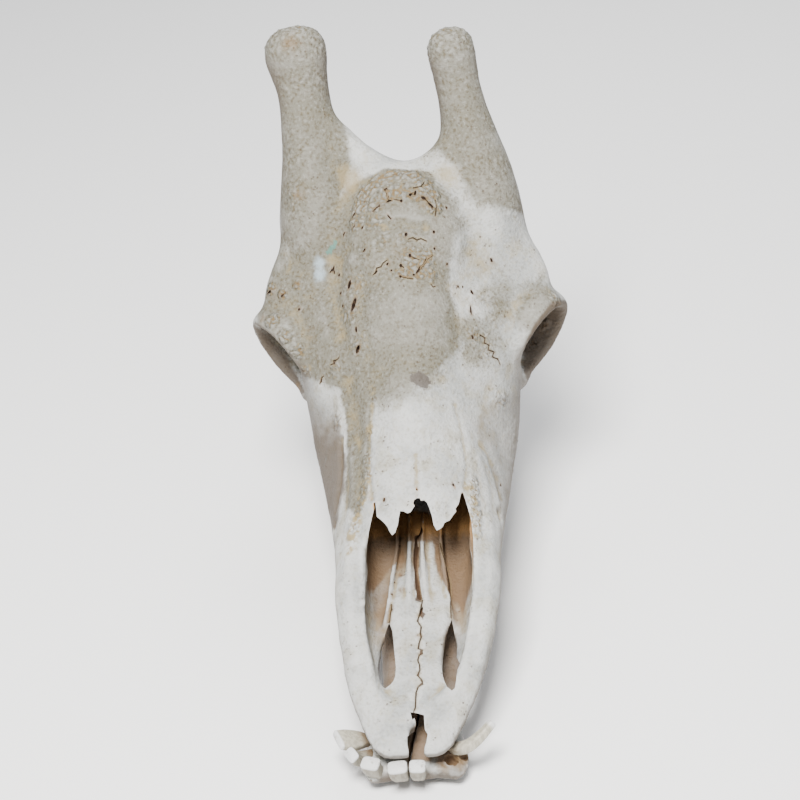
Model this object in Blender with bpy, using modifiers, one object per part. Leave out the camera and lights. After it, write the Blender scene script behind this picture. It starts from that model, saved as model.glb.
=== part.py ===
"""A giraffe skull with its lower jaw in place, resting on a table.

The skull is modelled on its bite plane: x to its left side, y from the tip of the
upper jaw backwards and z up from the plane where the cheek teeth meet, all in
millimetres. At the end it is pitched nose down onto the two heels and the chin of
the lower jaw, scaled to metres and centred over the origin.
"""

import math

import bmesh
import bpy
from mathutils import Matrix, Vector

# Driving dimensions, in millimetres
MM = 0.001
PITCH = math.radians(8.5)         # nose-down lean of the bite plane at rest
REST_HEIGHT = -25.6               # the table under the bite plane's origin, once pitched
CENTRE = (-0.1, 288.3)            # middle of the pitched skull's footprint
MUZZLE_DRIFT = 7.0                # the muzzle grew this far to the animal's right
DRIFT_START = 150.0               # and leaves the middle line here
HEAD_VOXEL = 5.0                  # grain at which the head's massive forms are grown together
BONE_VOXEL = 3.0                  # and that of the thin forms on it
CRANIUM_TRIANGLES = 4200
JAW_TRIANGLES = 760
TOOTH_GAP = 0.4                   # clearance between a tooth and its socket
JAW_GAP = 0.8                     # each half of the jaw stays this far off the middle
LOFT_STEP = 5.0                   # spacing of a loft's rings
LOFT_POINTS = 48                  # points round each
RAMUS_HALF = 4.5                  # half thickness of the lower jaw's upright plate
ORBIT = (109, 376, 98)            # middle of the left eye socket's mouth
ORBIT_FACING = (0.80, -0.60, -0.28)
ORBIT_RADIUS = 36.0               # to the middle of its collar of bone
COLLAR = (14.0, 6.5)              # half depth and half thickness of the collar
FRINGE_FLOOR = 27.5               # how deep the nasal opening is cut from above

# Cross-sections of the cranium's outer form: y, then points (x, z) from the middle of
# the top, round the left side, to the middle of the underside
SECTIONS = [
    (-2, [(0, 15), (10, 16), (19, 16), (25, 13), (25, 8), (20, 4), (9, 3), (0, 3)]),
    (8, [(0, 17), (13, 19), (25, 19), (32, 15), (32, 8), (25, 3), (11, 2), (0, 3)]),
    (28, [(0, 21), (18, 23), (32, 24), (41, 18), (41, 11), (32, 4), (14, 4), (0, 5)]),
    (60, [(0, 30), (25, 32), (42, 33), (52, 27), (52, 18), (42, 7), (18, 7), (0, 9)]),
    (100, [(0, 43), (28, 45), (49, 46), (60, 39), (60, 27), (48, 9), (20, 10), (0, 13)]),
    (145, [(0, 57), (32, 59), (52, 60), (65, 51), (65, 36), (52, 11), (22, 12), (0, 16)]),
    (168, [(0, 80), (20, 78), (41, 68), (57, 60), (66, 45), (58, 12), (23, 13), (0, 17)]),
    (188, [(0, 90), (22, 88), (42, 77), (60, 62), (67, 44), (60, 12), (24, 14), (0, 19)]),
    (215, [(0, 100), (20, 98), (38, 88), (56, 66), (69, 42), (65, 14), (28, 17), (0, 22)]),
    (250, [(0, 118), (20, 114), (38, 101), (56, 78), (72, 46), (72, 15), (34, 18), (0, 26)]),
    (290, [(0, 137), (22, 132), (42, 117), (62, 90), (80, 52), (76, 17), (36, 19), (0, 28)]),
    (330, [(0, 158), (26, 154), (52, 138), (78, 108), (89, 62), (80, 20), (36, 20), (0, 29)]),
    (362, [(0, 174), (30, 170), (64, 152), (101, 120), (93, 76), (74, 26), (36, 22), (0, 30)]),
    (392, [(0, 194), (34, 188), (72, 166), (126, 134), (98, 90), (60, 44), (34, 34), (0, 34)]),
    (425, [(0, 218), (38, 210), (80, 188), (116, 152), (76, 104), (50, 62), (34, 44), (0, 40)]),
    (460, [(0, 223), (40, 218), (82, 197), (92, 162), (56, 120), (46, 78), (32, 52), (0, 44)]),
    (500, [(0, 203), (36, 199), (60, 186), (60, 152), (50, 112), (48, 80), (34, 54), (0, 46)]),
    (540, [(0, 176), (30, 171), (50, 157), (58, 132), (60, 104), (52, 76), (34, 54), (0, 47)]),
    (572, [(0, 148), (22, 144), (40, 132), (54, 112), (56, 90), (46, 66), (28, 52), (0, 49)]),
    (583, [(0, 134), (16, 130), (30, 120), (42, 106), (44, 90), (36, 70), (22, 56), (0, 54)]),
]

# The nasal chamber: y, half width, floor, height of the middle of the floor, its half
# width, and roof. Its back end drops through the throat behind the palate
CHAMBER = [
    (36, 14, 24, 24, 8, 60), (50, 25, 22, 24, 16, 70), (80, 33, 20, 24, 18, 74),
    (118, 39, 20, 27, 24, 70), (150, 40, 20, 28, 21, 62), (168, 41, 20, 28, 19, 69),
    (188, 41, 21, 28, 17, 80), (215, 42, 25, 30, 14, 88), (250, 43, 29, 33, 12, 103),
    (290, 42, 32, 35, 12, 120), (330, 30, 35, 38, 10, 122), (362, 22, 37, 40, 8, 96),
    (392, 19, 36, 38, 7, 78), (420, 17, 14, 14, 7, 68),
]

# Plan of the nasal opening, cut down from above: the rails' inner edges and, at the
# back, the broken fringe of the nasal bones
OPENING = [
    (-20, 40), (-29, 56), (-34, 88), (-37.5, 108), (-39.5, 130), (-39.5, 165), (-35, 190),
    (-28.5, 181), (-21, 175), (-17, 168), (-13, 176), (-10.5, 184), (-5, 182), (0, 189), (4, 192),
    (8, 189), (11.5, 188), (14, 180), (17, 169), (20.5, 169), (26, 176), (32, 181),
    (41, 196), (43, 165), (43, 130), (41, 108), (38, 88), (33, 62), (20, 40),
]

# The upright plate of the lower jaw seen from its side, as (y, z)
RAMUS = [
    (372, -52), (405, -70), (430, -86), (452, -96), (478, -92), (497, -70), (503, -35), (500, 10),
    (497, 50), (496, 64), (484, 66), (477, 58), (471, 74), (474, 100), (479, 116), (474, 120),
    (462, 108), (450, 82), (436, 40), (422, 4), (402, -12), (372, -14),
]

# Cheek teeth, front to back: name, first y, last y, middle x and width, upper then lower
UPPER_TEETH = [
    ("premolar_2", 234, 254, 44, 21), ("premolar_3", 255, 275, 46, 23), ("premolar_4", 276, 296, 48, 24),
    ("molar_1", 297, 324, 50, 26), ("molar_2", 325, 353, 51, 27), ("molar_3", 354, 381, 50, 25),
]
LOWER_TEETH = [
    ("premolar_2", 240, 255, 37, 12), ("premolar_3", 256, 275, 39, 14), ("premolar_4", 276, 297, 41, 16),
    ("molar_1", 298, 324, 43, 17), ("molar_2", 325, 353, 44, 18), ("molar_3", 354, 390, 45, 17),
]
UPPER_CROWN = (0.3, 19.0)        # biting face, and height at which the crown enters the bone
LOWER_CROWN = (-0.1, -11.0)
ROOT = 7.0                       # depth of a tooth inside its bone

# Front teeth: name, side, then the stations of each from its root to its worn edge as
# x, y, z, half width and half thickness. The first is the way the width runs
FRONT_TEETH = {
    "incisor_1_right": ((1, 0.05, 0), [(-9, 14, -14, 4, 4), (-10.5, 1.5, -12, 5.8, 5.5),
                                       (-12, -4, -4, 7, 5.5), (-12.5, -5, 4, 7.4, 5.5)]),
    "incisor_2_right": ((1, -0.35, 0), [(-25, 18, -14, 4, 4), (-29, 5.5, -12, 5.8, 5.5),
                                        (-32, 1, -4, 7, 5.5), (-33, 0, 4, 7.4, 5.5)]),
    "incisor_3_right": ((0.56, -0.83, 0), [(-33, 22, -12, 3.5, 4), (-38, 16, -8, 5, 4.5),
                                           (-44, 11, -3, 6, 4.5), (-47.5, 9, 4, 6.5, 4.5)]),
    "canine_right": ((0.45, -0.89, 0), [(-35, 34, -10, 4, 3.5), (-42, 32, -6, 8, 3.5),
                                        (-50, 28, -1, 10.5, 3.5), (-58, 24.5, 4, 9.5, 3)]),
    "incisor_1_left": ((1, -0.05, 0), [(1.5, 14, -14, 4, 4), (2, 1.5, -12, 5, 5.5),
                                       (2.3, -4, -4, 6, 5.5), (2.4, -5, 4, 6.2, 5.5)]),
    "canine_left": ((-0.35, -0.93, 0), [(22, 30, -9, 3.5, 3.5), (30, 17, -4, 4.5, 4),
                                        (40, 14, 1, 5, 4), (50, 19, 6, 5, 3.5), (59, 27, 11, 4, 3)]),
}
# The seam between the jaw's halves in plan: it bends to the right at the chin, and the
# bone of the left half follows it
JAW_MIDDLE = [(-5.2, -50), (-5.2, 6), (-3, 26), (0, 52), (0, 600)]
CHIN_MIDDLE = [(4, -1, -14.5, 12, 6), (4, 12, -14.5, 13, 8), (5, 30, -16, 12, 9), (8, 56, -20, 8, 9)]
EMPTY_SOCKETS = [(27, 8, -6), (38, 13, -5)]   # where two teeth of the left side were lost
PIT_RADII = (6, 5, 9)


def hermite(keys, values, at):
    """The value at a place on a smooth curve through keys and values."""
    last = len(keys) - 1
    i = max(j for j in range(last) if j == 0 or keys[j] <= at)

    def slope(j):
        low, high = max(j - 1, 0), min(j + 1, last)
        return (values[high] - values[low]) / (keys[high] - keys[low])

    span = keys[i + 1] - keys[i]
    t = min(max((at - keys[i]) / span, 0.0), 1.0)
    rise = (1 + 2 * t) * (1 - t) ** 2 * values[i] + t * t * (3 - 2 * t) * values[i + 1]
    turn = t * (1 - t) ** 2 * slope(i) - t * t * (1 - t) * slope(i + 1)
    return rise + turn * span


def smooth_ring(half, count):
    """A closed smooth ring through a half section and its mirror image."""
    points = [Vector(p) for p in half] + [Vector((-x, z)) for x, z in half[-2:0:-1]]
    n = len(points)
    ring = []
    for k in range(count):
        i, t = divmod(k * n / count, 1.0)
        a, b, c, d = (points[(int(i) + j) % n] for j in (-1, 0, 1, 2))
        ring.append(0.5 * (2 * b + (c - a) * t + (2 * a - 5 * b + 4 * c - d) * t ** 2
                           + (3 * b - a - 3 * c + d) * t ** 3))
    return ring


def placed(name, shape):
    """A mesh object made from a bmesh."""
    bmesh.ops.recalc_face_normals(shape, faces=shape.faces)
    mesh = bpy.data.meshes.new(name)
    shape.to_mesh(mesh)
    shape.free()
    obj = bpy.data.objects.new(name, mesh)
    bpy.context.scene.collection.objects.link(obj)
    return obj


def bridged(name, rings):
    """A closed solid over rings of points, capped at both ends."""
    shape = bmesh.new()
    loops = [[shape.verts.new(p) for p in ring] for ring in rings]
    for one, two in zip(loops, loops[1:]):
        for k in range(len(one)):
            j = (k + 1) % len(one)
            shape.faces.new((one[k], one[j], two[j], two[k]))
    shape.faces.new(loops[0][::-1])
    shape.faces.new(loops[-1])
    return placed(name, shape)


def section_loft(name, sections):
    """A solid through cross-sections square to y, each given as a half section."""
    keys = [y for y, _ in sections]
    count = int((keys[-1] - keys[0]) / LOFT_STEP)
    rings = []
    for k in range(count + 1):
        y = keys[0] + (keys[-1] - keys[0]) * k / count
        half = [[hermite(keys, [s[1][p][c] for s in sections], y) for c in (0, 1)]
                for p in range(len(sections[0][1]))]
        rings.append([(x, y, z) for x, z in smooth_ring(half, LOFT_POINTS)])
    return bridged(name, rings)


def rounded(value, square):
    """A cosine or sine drawn towards a square's, for square of less than 1."""
    return math.copysign(abs(value) ** square, value)


def sweep(name, stations, side=(1, 0, 0), count=20, step=4.0, flip=1, square=1.0):
    """A tube of changing oval section through stations x, y, z, half width, half depth."""
    stations = [(flip * s[0],) + tuple(s[1:]) for s in stations]
    side = Vector((flip * side[0], side[1], side[2]))
    keys = [0.0]
    for a, b in zip(stations, stations[1:]):
        keys.append(keys[-1] + (Vector(b[:3]) - Vector(a[:3])).length)
    steps = max(3, int(keys[-1] / step))
    track = [[hermite(keys, [s[c] for s in stations], keys[-1] * k / steps) for c in range(5)]
             for k in range(steps + 1)]
    rings = []
    for k, (x, y, z, wide, deep) in enumerate(track):
        ahead = Vector(track[min(k + 1, steps)][:3]) - Vector(track[max(k - 1, 0)][:3])
        across = (side - ahead * side.dot(ahead) / ahead.length_squared).normalized()
        other = ahead.cross(across).normalized()
        rings.append([Vector((x, y, z)) + across * wide * rounded(math.cos(2 * math.pi * j / count), square)
                      + other * deep * rounded(math.sin(2 * math.pi * j / count), square)
                      for j in range(count)])
    return bridged(name, rings)


def blob(name, centre, radii, turn=(0, 0, 0)):
    """An ellipsoid, turned by degrees about x, then y, then z."""
    shape = bmesh.new()
    bmesh.ops.create_uvsphere(shape, u_segments=20, v_segments=14, radius=1)
    bmesh.ops.scale(shape, vec=radii, verts=shape.verts)
    for degrees, axis in zip(turn, "XYZ"):
        spin = Matrix.Rotation(math.radians(degrees), 3, axis)
        bmesh.ops.rotate(shape, cent=(0, 0, 0), matrix=spin, verts=shape.verts)
    bmesh.ops.translate(shape, vec=centre, verts=shape.verts)
    return placed(name, shape)


def prism(name, outline, low, high, place=None):
    """A flat outline raised from low to high. A place function then moves each point."""
    shape = bmesh.new()
    floor = shape.faces.new([shape.verts.new((u, v, low)) for u, v in outline])
    raised = bmesh.ops.extrude_face_region(shape, geom=[floor])["geom"]
    bmesh.ops.translate(shape, vec=(0, 0, high - low),
                        verts=[g for g in raised if isinstance(g, bmesh.types.BMVert)])
    for vert in shape.verts if place else ():
        vert.co = place(*vert.co)
    return placed(name, shape)


def joined(name, objects):
    """One object holding several overlapping meshes."""
    shape = bmesh.new()
    for obj in objects:
        shape.from_mesh(obj.data)
        bpy.data.objects.remove(obj)
    return placed(name, shape)


def baked(obj):
    """Applies an object's modifiers."""
    graph = bpy.context.evaluated_depsgraph_get()
    mesh = bpy.data.meshes.new_from_object(obj.evaluated_get(graph))
    obj.modifiers.clear()
    obj.data = mesh
    return obj


def fused(obj, voxel, rounds):
    """Overlapping forms grown into one skin, with its creases softened."""
    remesh = obj.modifiers.new("grow_together", "REMESH")
    remesh.mode = "VOXEL"
    remesh.voxel_size = voxel
    return softened(baked(obj), rounds)


def softened(obj, rounds):
    """Creases worn round."""
    soften = obj.modifiers.new("soften", "SMOOTH")
    soften.factor = 0.5
    soften.iterations = rounds
    return baked(obj)


def thinned(obj, triangles):
    """Fewer triangles, fewest where the surface is plain."""
    obj.modifiers.new("split", "TRIANGULATE")
    count = len(baked(obj).data.polygons)
    fewer = obj.modifiers.new("fewer", "DECIMATE")
    fewer.ratio = triangles / count
    return baked(obj)


def cut(obj, cutters):
    """Takes the cutters' forms out of an object, and the cutters out of the scene."""
    for cutter in cutters:
        boolean = obj.modifiers.new("cut", "BOOLEAN")
        boolean.operation = "DIFFERENCE"
        boolean.object = cutter
    baked(obj)
    for cutter in cutters:
        bpy.data.objects.remove(cutter)
    return obj


def head_forms():
    """The massive forms of the cranium: face, braincase, horns and brow."""
    forms = [section_loft("head", SECTIONS)]
    forms.append(sweep("ossicone_left", [
        (62, 440, 158, 44, 44), (64, 458, 190, 38, 40), (63, 477, 222, 29, 30), (58, 494, 251, 22, 22),
        (54, 508, 276, 20, 19.5), (51, 519, 297, 21.5, 21), (49, 526, 311, 19.5, 18),
        (48, 529, 317, 11, 10)]))
    forms.append(sweep("ossicone_right", [
        (-64, 440, 158, 44, 44), (-70, 458, 192, 36, 40), (-73, 478, 228, 27, 30), (-75, 497, 258, 24, 23),
        (-77, 511, 284, 23.5, 22), (-80, 522, 304, 28, 25), (-81, 531, 318, 25, 22),
        (-81.5, 535, 325, 15, 13)]))
    forms.append(sweep("saddle", [(-68, 494, 268, 8, 8), (-54, 484, 250, 14, 12), (-32, 468, 231, 15, 15),
                                  (0, 458, 216, 15, 17), (30, 463, 223, 14, 14), (48, 478, 242, 11, 11),
                                  (56, 490, 262, 8, 8)], side=(0, 0.8, 0.6)))
    forms.append(blob("brow_boss", (3, 404, 192), (50, 64, 24), (34, 0, 0)))
    forms.append(blob("brow_ridge", (2, 345, 150), (40, 70, 27), (33, 0, 0)))
    forms.append(blob("nasal_ridge", (1, 262, 96), (30, 90, 30), (33, 0, 0)))
    return forms


def fine_forms():
    """The thin forms that stand out from the head."""
    forms = [blob("crest", (0, 561, 146), (44, 13, 16))]
    for flip in (1, -1):
        forms.append(orbit_collar(flip))
        forms.append(sweep("arch", [
            (88, 362, 62, 9, 11), (101, 392, 68, 6, 11), (104, 430, 74, 5, 9), (98, 475, 84, 6, 9),
            (82, 500, 92, 9, 10), (56, 512, 94, 12, 12)], side=(1, 0.2, 0), flip=flip))
        forms.append(blob("condyle", (flip * 24, 586, 68), (14, 18, 24), (0, flip * 20, 0)))
        forms.append(sweep("paroccipital", [
            (52, 556, 76, 9, 11), (50, 560, 50, 7, 10), (46, 560, 28, 4, 7), (45, 560, 20, 2, 3)], flip=flip))
        forms.append(blob("bulla", (flip * 34, 520, 48), (12, 20, 13)))
        forms.append(sweep("pterygoid", [
            (26, 398, 40, 3.5, 18), (25, 425, 32, 3, 16), (24, 450, 36, 3, 14), (24, 475, 46, 4, 8)],
            flip=flip))
    return forms


def orbit_collar(flip):
    """The collar of bone round an eye, reaching back into the head."""
    out = Vector((flip * ORBIT_FACING[0], *ORBIT_FACING[1:])).normalized()
    centre = Vector((flip * ORBIT[0], *ORBIT[1:])) - out * (COLLAR[0] - 5)
    up = (Vector((0, 0, 1)) - out * out.z).normalized()
    fore = up.cross(out)
    ring = []
    for k in range(25):
        turn = 2 * math.pi * k / 24
        p = centre + (up * math.cos(turn) + fore * math.sin(turn)) * ORBIT_RADIUS
        ring.append((p.x, p.y, p.z, *COLLAR))
    return sweep("orbit_collar", ring, side=out)


def chamber_section(wide, low, step, step_wide, high):
    """Half a section of the nasal chamber, with its raised middle floor."""
    return [(0, high), (wide * 0.6, high - 5), (wide, (low + high) * 0.55), (wide, low + 9),
            (wide * 0.86, low), (step_wide + 3, low + 1), (step_wide - 3, step), (0, step)]


def cranium_hollows():
    """What is open in the cranium: nose, eyes, palate, throat and the way to the brain."""
    hollows = [section_loft("chamber", [(c[0], chamber_section(*c[1:])) for c in CHAMBER])]
    hollows.append(sweep("muzzle_gap", [(0, -30, 12, 7, 30), (0, 0, 12, 7.5, 30), (1, 14, 12, 9.5, 30),
                                        (1, 38, 12, 8.5, 30)]))
    hollows.append(sweep("foramen_magnum", [(0, 620, 74, 17, 17), (0, 575, 76, 16, 15),
                                            (0, 540, 84, 15, 15), (0, 520, 88, 8, 8)]))
    for flip in (1, -1):
        hollows.append(blob("palate_fissure", (flip * 25, 91, 15), (9, 38, 44)))
        hollows.append(sweep("orbit", [(149, 346, 84, 33, 33), (109, 376, 98, 31, 31), (90, 390, 102, 29, 29),
                                       (62, 410, 106, 20, 20), (40, 424, 110, 8, 8)], side=(0, 1, 0),
                             flip=flip))
        hollows.append(sweep("cheek_foramen", [(90, 200, 42, 4, 5), (66, 216, 45, 4, 5), (52, 238, 50, 3, 4)],
                             side=(0, 1, 0), flip=flip))
    return hollows


def jaw_forms(flip):
    """The solid forms of one half of the lower jaw."""
    body = sweep("body", [
        (17, 0, -14.5, 18, 6.5), (19, 10, -13.5, 22, 8), (18, 26, -14, 21, 9), (13, 50, -20, 17, 12.5),
        (12, 85, -25, 14, 14.5), (18, 115, -27, 12, 15), (25, 150, -27, 11, 15.5),
        (31, 190, -27, 10.5, 16.5), (35, 235, -30, 11, 19.5), (39, 290, -33, 12.5, 23),
        (43, 340, -34, 12.5, 26), (46, 385, -36, 11, 30), (48, 410, -42, 6, 30)], flip=flip)

    def upright(y, z, across):
        """The plate leans out towards the joint and in towards the tooth row."""
        return flip * (56 + across + 0.075 * z - 0.04 * max(0, 420 - y)), y, z

    plate = prism("ramus", RAMUS, -RAMUS_HALF, RAMUS_HALF, upright)
    seat = [blob("joint_knob", (flip * 64, 490, 65), (19, 8, 7), (0, 0, flip * 8)),
            blob("heel", (flip * 50, 462, -84), (7, 26, 12)),
            sweep("front_edge", [(47, 395, -16, 6, 6), (55, 425, 10, 5, 7), (60, 442, 50, 4.5, 7),
                                 (64, 460, 95, 4, 6)], flip=flip)]
    if flip == 1:
        seat.append(sweep("chin_middle", CHIN_MIDDLE))
    return [body, plate] + seat


def grown(obj):
    """The muzzle's drift to one side."""
    for vertex in obj.data.vertices:
        t = min(max(vertex.co.y / DRIFT_START, 0.0), 1.0)
        vertex.co.x -= MUZZLE_DRIFT * (1 - t * t * (3 - 2 * t))
    return obj


def tooth_ring(first, last, middle, wide, z, swell):
    """Two rounded lobes side by side, seen from the biting face."""
    length, centre = (last - first) / 2, (first + last) / 2
    ring = []
    for k in range(10):
        turn = 2 * math.pi * k / 10
        along, out = math.cos(turn), math.sin(turn)
        waist = 1 - 0.14 * math.cos(math.pi * along) ** 8 * (abs(along) < 0.5)
        ring.append((middle + wide / 2 * swell * waist * math.copysign(abs(out) ** 0.6, out),
                     centre + length * math.copysign(abs(along) ** 0.6, along), z))
    return ring


def cheek_tooth(name, tooth, crown, flip):
    """A molar or premolar: root, neck and worn crown."""
    _, first, last, middle, wide = tooth
    bite, neck = crown
    away = math.copysign(1, neck - bite)
    levels = [(bite, 0.82), (bite + 3 * away, 0.94), (neck - 3 * away, 1.0), (neck + ROOT * away, 0.84)]
    rings = [tooth_ring(first, last, flip * middle, wide, z, swell) for z, swell in levels]
    return bridged(name, rings)


def socket_row(teeth, crown, flip):
    """The open groove that a row of cheek teeth stands in."""
    bite, neck = crown
    away = math.copysign(1, neck - bite)
    low = neck - 14 * away
    high = neck + (ROOT + 2 * TOOTH_GAP) * away
    outline = []
    for side in (1, -1):
        edge = []
        for _, first, last, middle, wide in teeth:
            out = flip * middle + side * (wide / 2 + TOOTH_GAP)
            edge += [(out, first + 3), (out, last - 3)]
        ends = [(flip * teeth[0][3] + side * 5, teeth[0][1] - TOOTH_GAP)]
        tips = [(flip * teeth[-1][3] + side * 5, teeth[-1][2] + TOOTH_GAP)]
        run = ends + edge + tips
        outline += run if side == 1 else run[::-1]
    return prism("socket_row", outline, min(low, high), max(low, high))


def material(name, colour, roughness):
    """A dull finish of one colour."""
    finish = bpy.data.materials.new(name)
    finish.use_nodes = True
    shader = finish.node_tree.nodes["Principled BSDF"]
    shader.inputs["Base Color"].default_value = (*colour, 1)
    shader.inputs["Roughness"].default_value = roughness
    shader.inputs["Metallic"].default_value = 0.0
    return finish


def rested(obj):
    """Pitched onto the table, centred and scaled to metres."""
    lean = Matrix.Rotation(PITCH, 4, "X")
    shift = Matrix.Translation((-CENTRE[0], -CENTRE[1], -REST_HEIGHT))
    obj.data.transform(Matrix.Scale(MM, 4) @ shift @ lean)
    return obj


def floor_cut(obj):
    """Worn flat where it touches the table."""
    shape = bmesh.new()
    shape.from_mesh(obj.data)
    whole = shape.verts[:] + shape.edges[:] + shape.faces[:]
    bmesh.ops.bisect_plane(shape, geom=whole, dist=1e-7, plane_co=(0, 0, 0), plane_no=(0, 0, -1),
                           clear_outer=True)
    bmesh.ops.holes_fill(shape, edges=[e for e in shape.edges if e.is_boundary], sides=0)
    bmesh.ops.triangulate(shape, faces=[f for f in shape.faces if len(f.verts) > 4])
    shape.to_mesh(obj.data)
    shape.free()
    return obj


def finished(obj, home, finish):
    """Given its finish and put among the skull's pieces."""
    obj.data.materials.clear()
    obj.data.materials.append(finish)
    obj.data.shade_smooth()
    for owner in obj.users_collection:
        owner.objects.unlink(obj)
    home.objects.link(obj)


def main():
    for obj in list(bpy.data.objects):
        bpy.data.objects.remove(obj)
    home = bpy.data.collections.new("giraffe_skull")
    bpy.context.scene.collection.children.link(home)
    bone = material("bone", (0.80, 0.77, 0.70), 0.75)
    enamel = material("enamel", (0.86, 0.82, 0.70), 0.45)

    head = fused(joined("head", head_forms()), HEAD_VOXEL, 10)
    cranium = fused(joined("cranium", [head] + fine_forms()), BONE_VOXEL, 4)
    cut(cranium, cranium_hollows())
    cranium = fused(cranium, BONE_VOXEL, 2)
    thinned(cranium, CRANIUM_TRIANGLES)
    rows = [socket_row(UPPER_TEETH, UPPER_CROWN, flip) for flip in (1, -1)]
    cut(cranium, rows + [prism("nasal_opening", OPENING, FRINGE_FLOOR, 200)])
    grown(cranium)
    finished(rested(cranium), home, bone)

    for flip, side in ((1, "left"), (-1, "right")):
        jaw = fused(joined(f"mandible_{side}", jaw_forms(flip)), BONE_VOXEL, 6)
        seam = [(x + flip * JAW_GAP, y) for x, y in JAW_MIDDLE]
        middle = prism("middle", [(-flip * 200, -50)] + seam + [(-flip * 200, 600)], -300, 300)
        cut(jaw, [middle])
        thinned(jaw, JAW_TRIANGLES)
        cut(grown(jaw), [socket_row(LOWER_TEETH, LOWER_CROWN, flip)])
        pits = [blob("pit", place, PIT_RADII) for place in EMPTY_SOCKETS if side == "left"]
        for name, (width_way, stations) in FRONT_TEETH.items():
            if name.endswith(side):
                wider = [(x, y, z, w + TOOTH_GAP, d + TOOTH_GAP) for x, y, z, w, d in stations]
                pits.append(sweep("socket", wider, side=width_way, count=10, step=8, square=0.7))
        cut(jaw, [grown(pit) for pit in pits])
        finished(floor_cut(rested(jaw)), home, bone)

        for tooth in UPPER_TEETH:
            obj = cheek_tooth(f"upper_{tooth[0]}_{side}", tooth, UPPER_CROWN, flip)
            finished(rested(grown(obj)), home, enamel)
        for tooth in LOWER_TEETH:
            obj = cheek_tooth(f"lower_{tooth[0]}_{side}", tooth, LOWER_CROWN, flip)
            finished(rested(grown(obj)), home, enamel)

    for name, (width_way, stations) in FRONT_TEETH.items():
        obj = sweep(name, stations, side=width_way, count=10, step=8, square=0.7)
        finished(rested(grown(obj)), home, enamel)


main()
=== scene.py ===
import math

import bmesh
import bpy
import numpy
from mathutils import Matrix, Vector, noise
from mathutils.bvhtree import BVHTree
from mathutils.kdtree import KDTree


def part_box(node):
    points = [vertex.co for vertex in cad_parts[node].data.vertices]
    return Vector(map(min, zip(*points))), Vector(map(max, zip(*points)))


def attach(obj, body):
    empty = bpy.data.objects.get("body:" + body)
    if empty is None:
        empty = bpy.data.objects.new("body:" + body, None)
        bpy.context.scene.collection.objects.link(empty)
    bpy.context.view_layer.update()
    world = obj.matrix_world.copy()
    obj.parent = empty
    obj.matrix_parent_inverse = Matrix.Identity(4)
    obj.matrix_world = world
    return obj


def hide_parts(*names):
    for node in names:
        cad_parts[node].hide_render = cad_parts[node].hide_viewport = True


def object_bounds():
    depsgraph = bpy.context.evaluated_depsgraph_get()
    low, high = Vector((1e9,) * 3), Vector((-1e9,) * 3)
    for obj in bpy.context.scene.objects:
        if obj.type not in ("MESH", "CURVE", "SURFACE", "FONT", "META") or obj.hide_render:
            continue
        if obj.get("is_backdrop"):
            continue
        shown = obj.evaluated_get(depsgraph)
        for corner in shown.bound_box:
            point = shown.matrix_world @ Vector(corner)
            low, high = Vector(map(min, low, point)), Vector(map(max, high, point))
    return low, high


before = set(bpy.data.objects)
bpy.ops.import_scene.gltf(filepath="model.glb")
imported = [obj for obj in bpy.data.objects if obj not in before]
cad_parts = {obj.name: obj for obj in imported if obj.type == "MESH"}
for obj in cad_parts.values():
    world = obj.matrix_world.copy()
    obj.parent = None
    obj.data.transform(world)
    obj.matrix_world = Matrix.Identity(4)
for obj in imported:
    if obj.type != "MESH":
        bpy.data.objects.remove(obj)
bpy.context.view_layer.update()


# The camera
# A giraffe skull lies on a table, muzzle towards the camera, which looks down its
# length from above. The skull is shaped level on its bite plane, in millimetres: x to
# the animal's left, y back from the muzzle, z up. At rest it leans nose down.

MM = 0.001
PITCH = math.radians(8.5)
REST_HEIGHT = -25.6
CENTRE = (-0.1, 288.3)
REST = (Matrix.Scale(MM, 4) @ Matrix.Translation((-CENTRE[0], -CENTRE[1], -REST_HEIGHT))
        @ Matrix.Rotation(PITCH, 4, "X"))

PICTURE = 800                      # pixels on a side
FOCAL = 2057.7                     # pixels
DISTANCE = 1700
AIM = Vector((0, 311, 110))
AIM_OFFSET = (-8.44, -12.82)       # across and up, to frame the skull
CAMERA_ELEVATION = math.radians(39.98)
CAMERA_LEAN = math.radians(-4.83)


def leaned(v):
    """A direction turned by the camera's small lean."""
    c, s = math.cos(CAMERA_LEAN), math.sin(CAMERA_LEAN)
    return Vector((c * v[0] - s * v[2], v[1], s * v[0] + c * v[2]))


RIGHT = leaned((1, 0, 0))
UP = leaned((0, math.sin(CAMERA_ELEVATION), math.cos(CAMERA_ELEVATION)))
BACK = leaned((0, -math.cos(CAMERA_ELEVATION), math.sin(CAMERA_ELEVATION)))
EYE = AIM + RIGHT * AIM_OFFSET[0] + UP * AIM_OFFSET[1] + BACK * DISTANCE

camera = bpy.data.objects.new("camera", bpy.data.cameras.new("camera"))
camera.data.sensor_width = 36
camera.data.lens = 18 * FOCAL / (PICTURE / 2)
camera.data.clip_start = 0.1
camera.data.clip_end = 50
turned = Matrix((RIGHT, UP, BACK)).transposed().to_4x4()
camera.matrix_world = (Matrix.Translation(REST @ EYE)
                       @ Matrix.Rotation(PITCH, 4, "X") @ turned)
bpy.context.scene.collection.objects.link(camera)
bpy.context.scene.camera = camera


def sight(u, v):
    """The direction in which the camera sees a pixel of the photograph."""
    half = PICTURE / 2
    return (RIGHT * (u - half) - UP * (v - half) - BACK * FOCAL).normalized()


def seen_at_height(u, v, z):
    """The place at height z that the camera sees at a pixel."""
    way = sight(u, v)
    return EYE + way * ((z - EYE.z) / way.z)


# The cranium: its massive forms
# Face, braincase, brow and the two bony horns grew as one piece of bone. They are
# cross-sections of the head square to its length, with the horns, the saddle between
# them and the swellings of the brow grown onto it.

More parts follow.
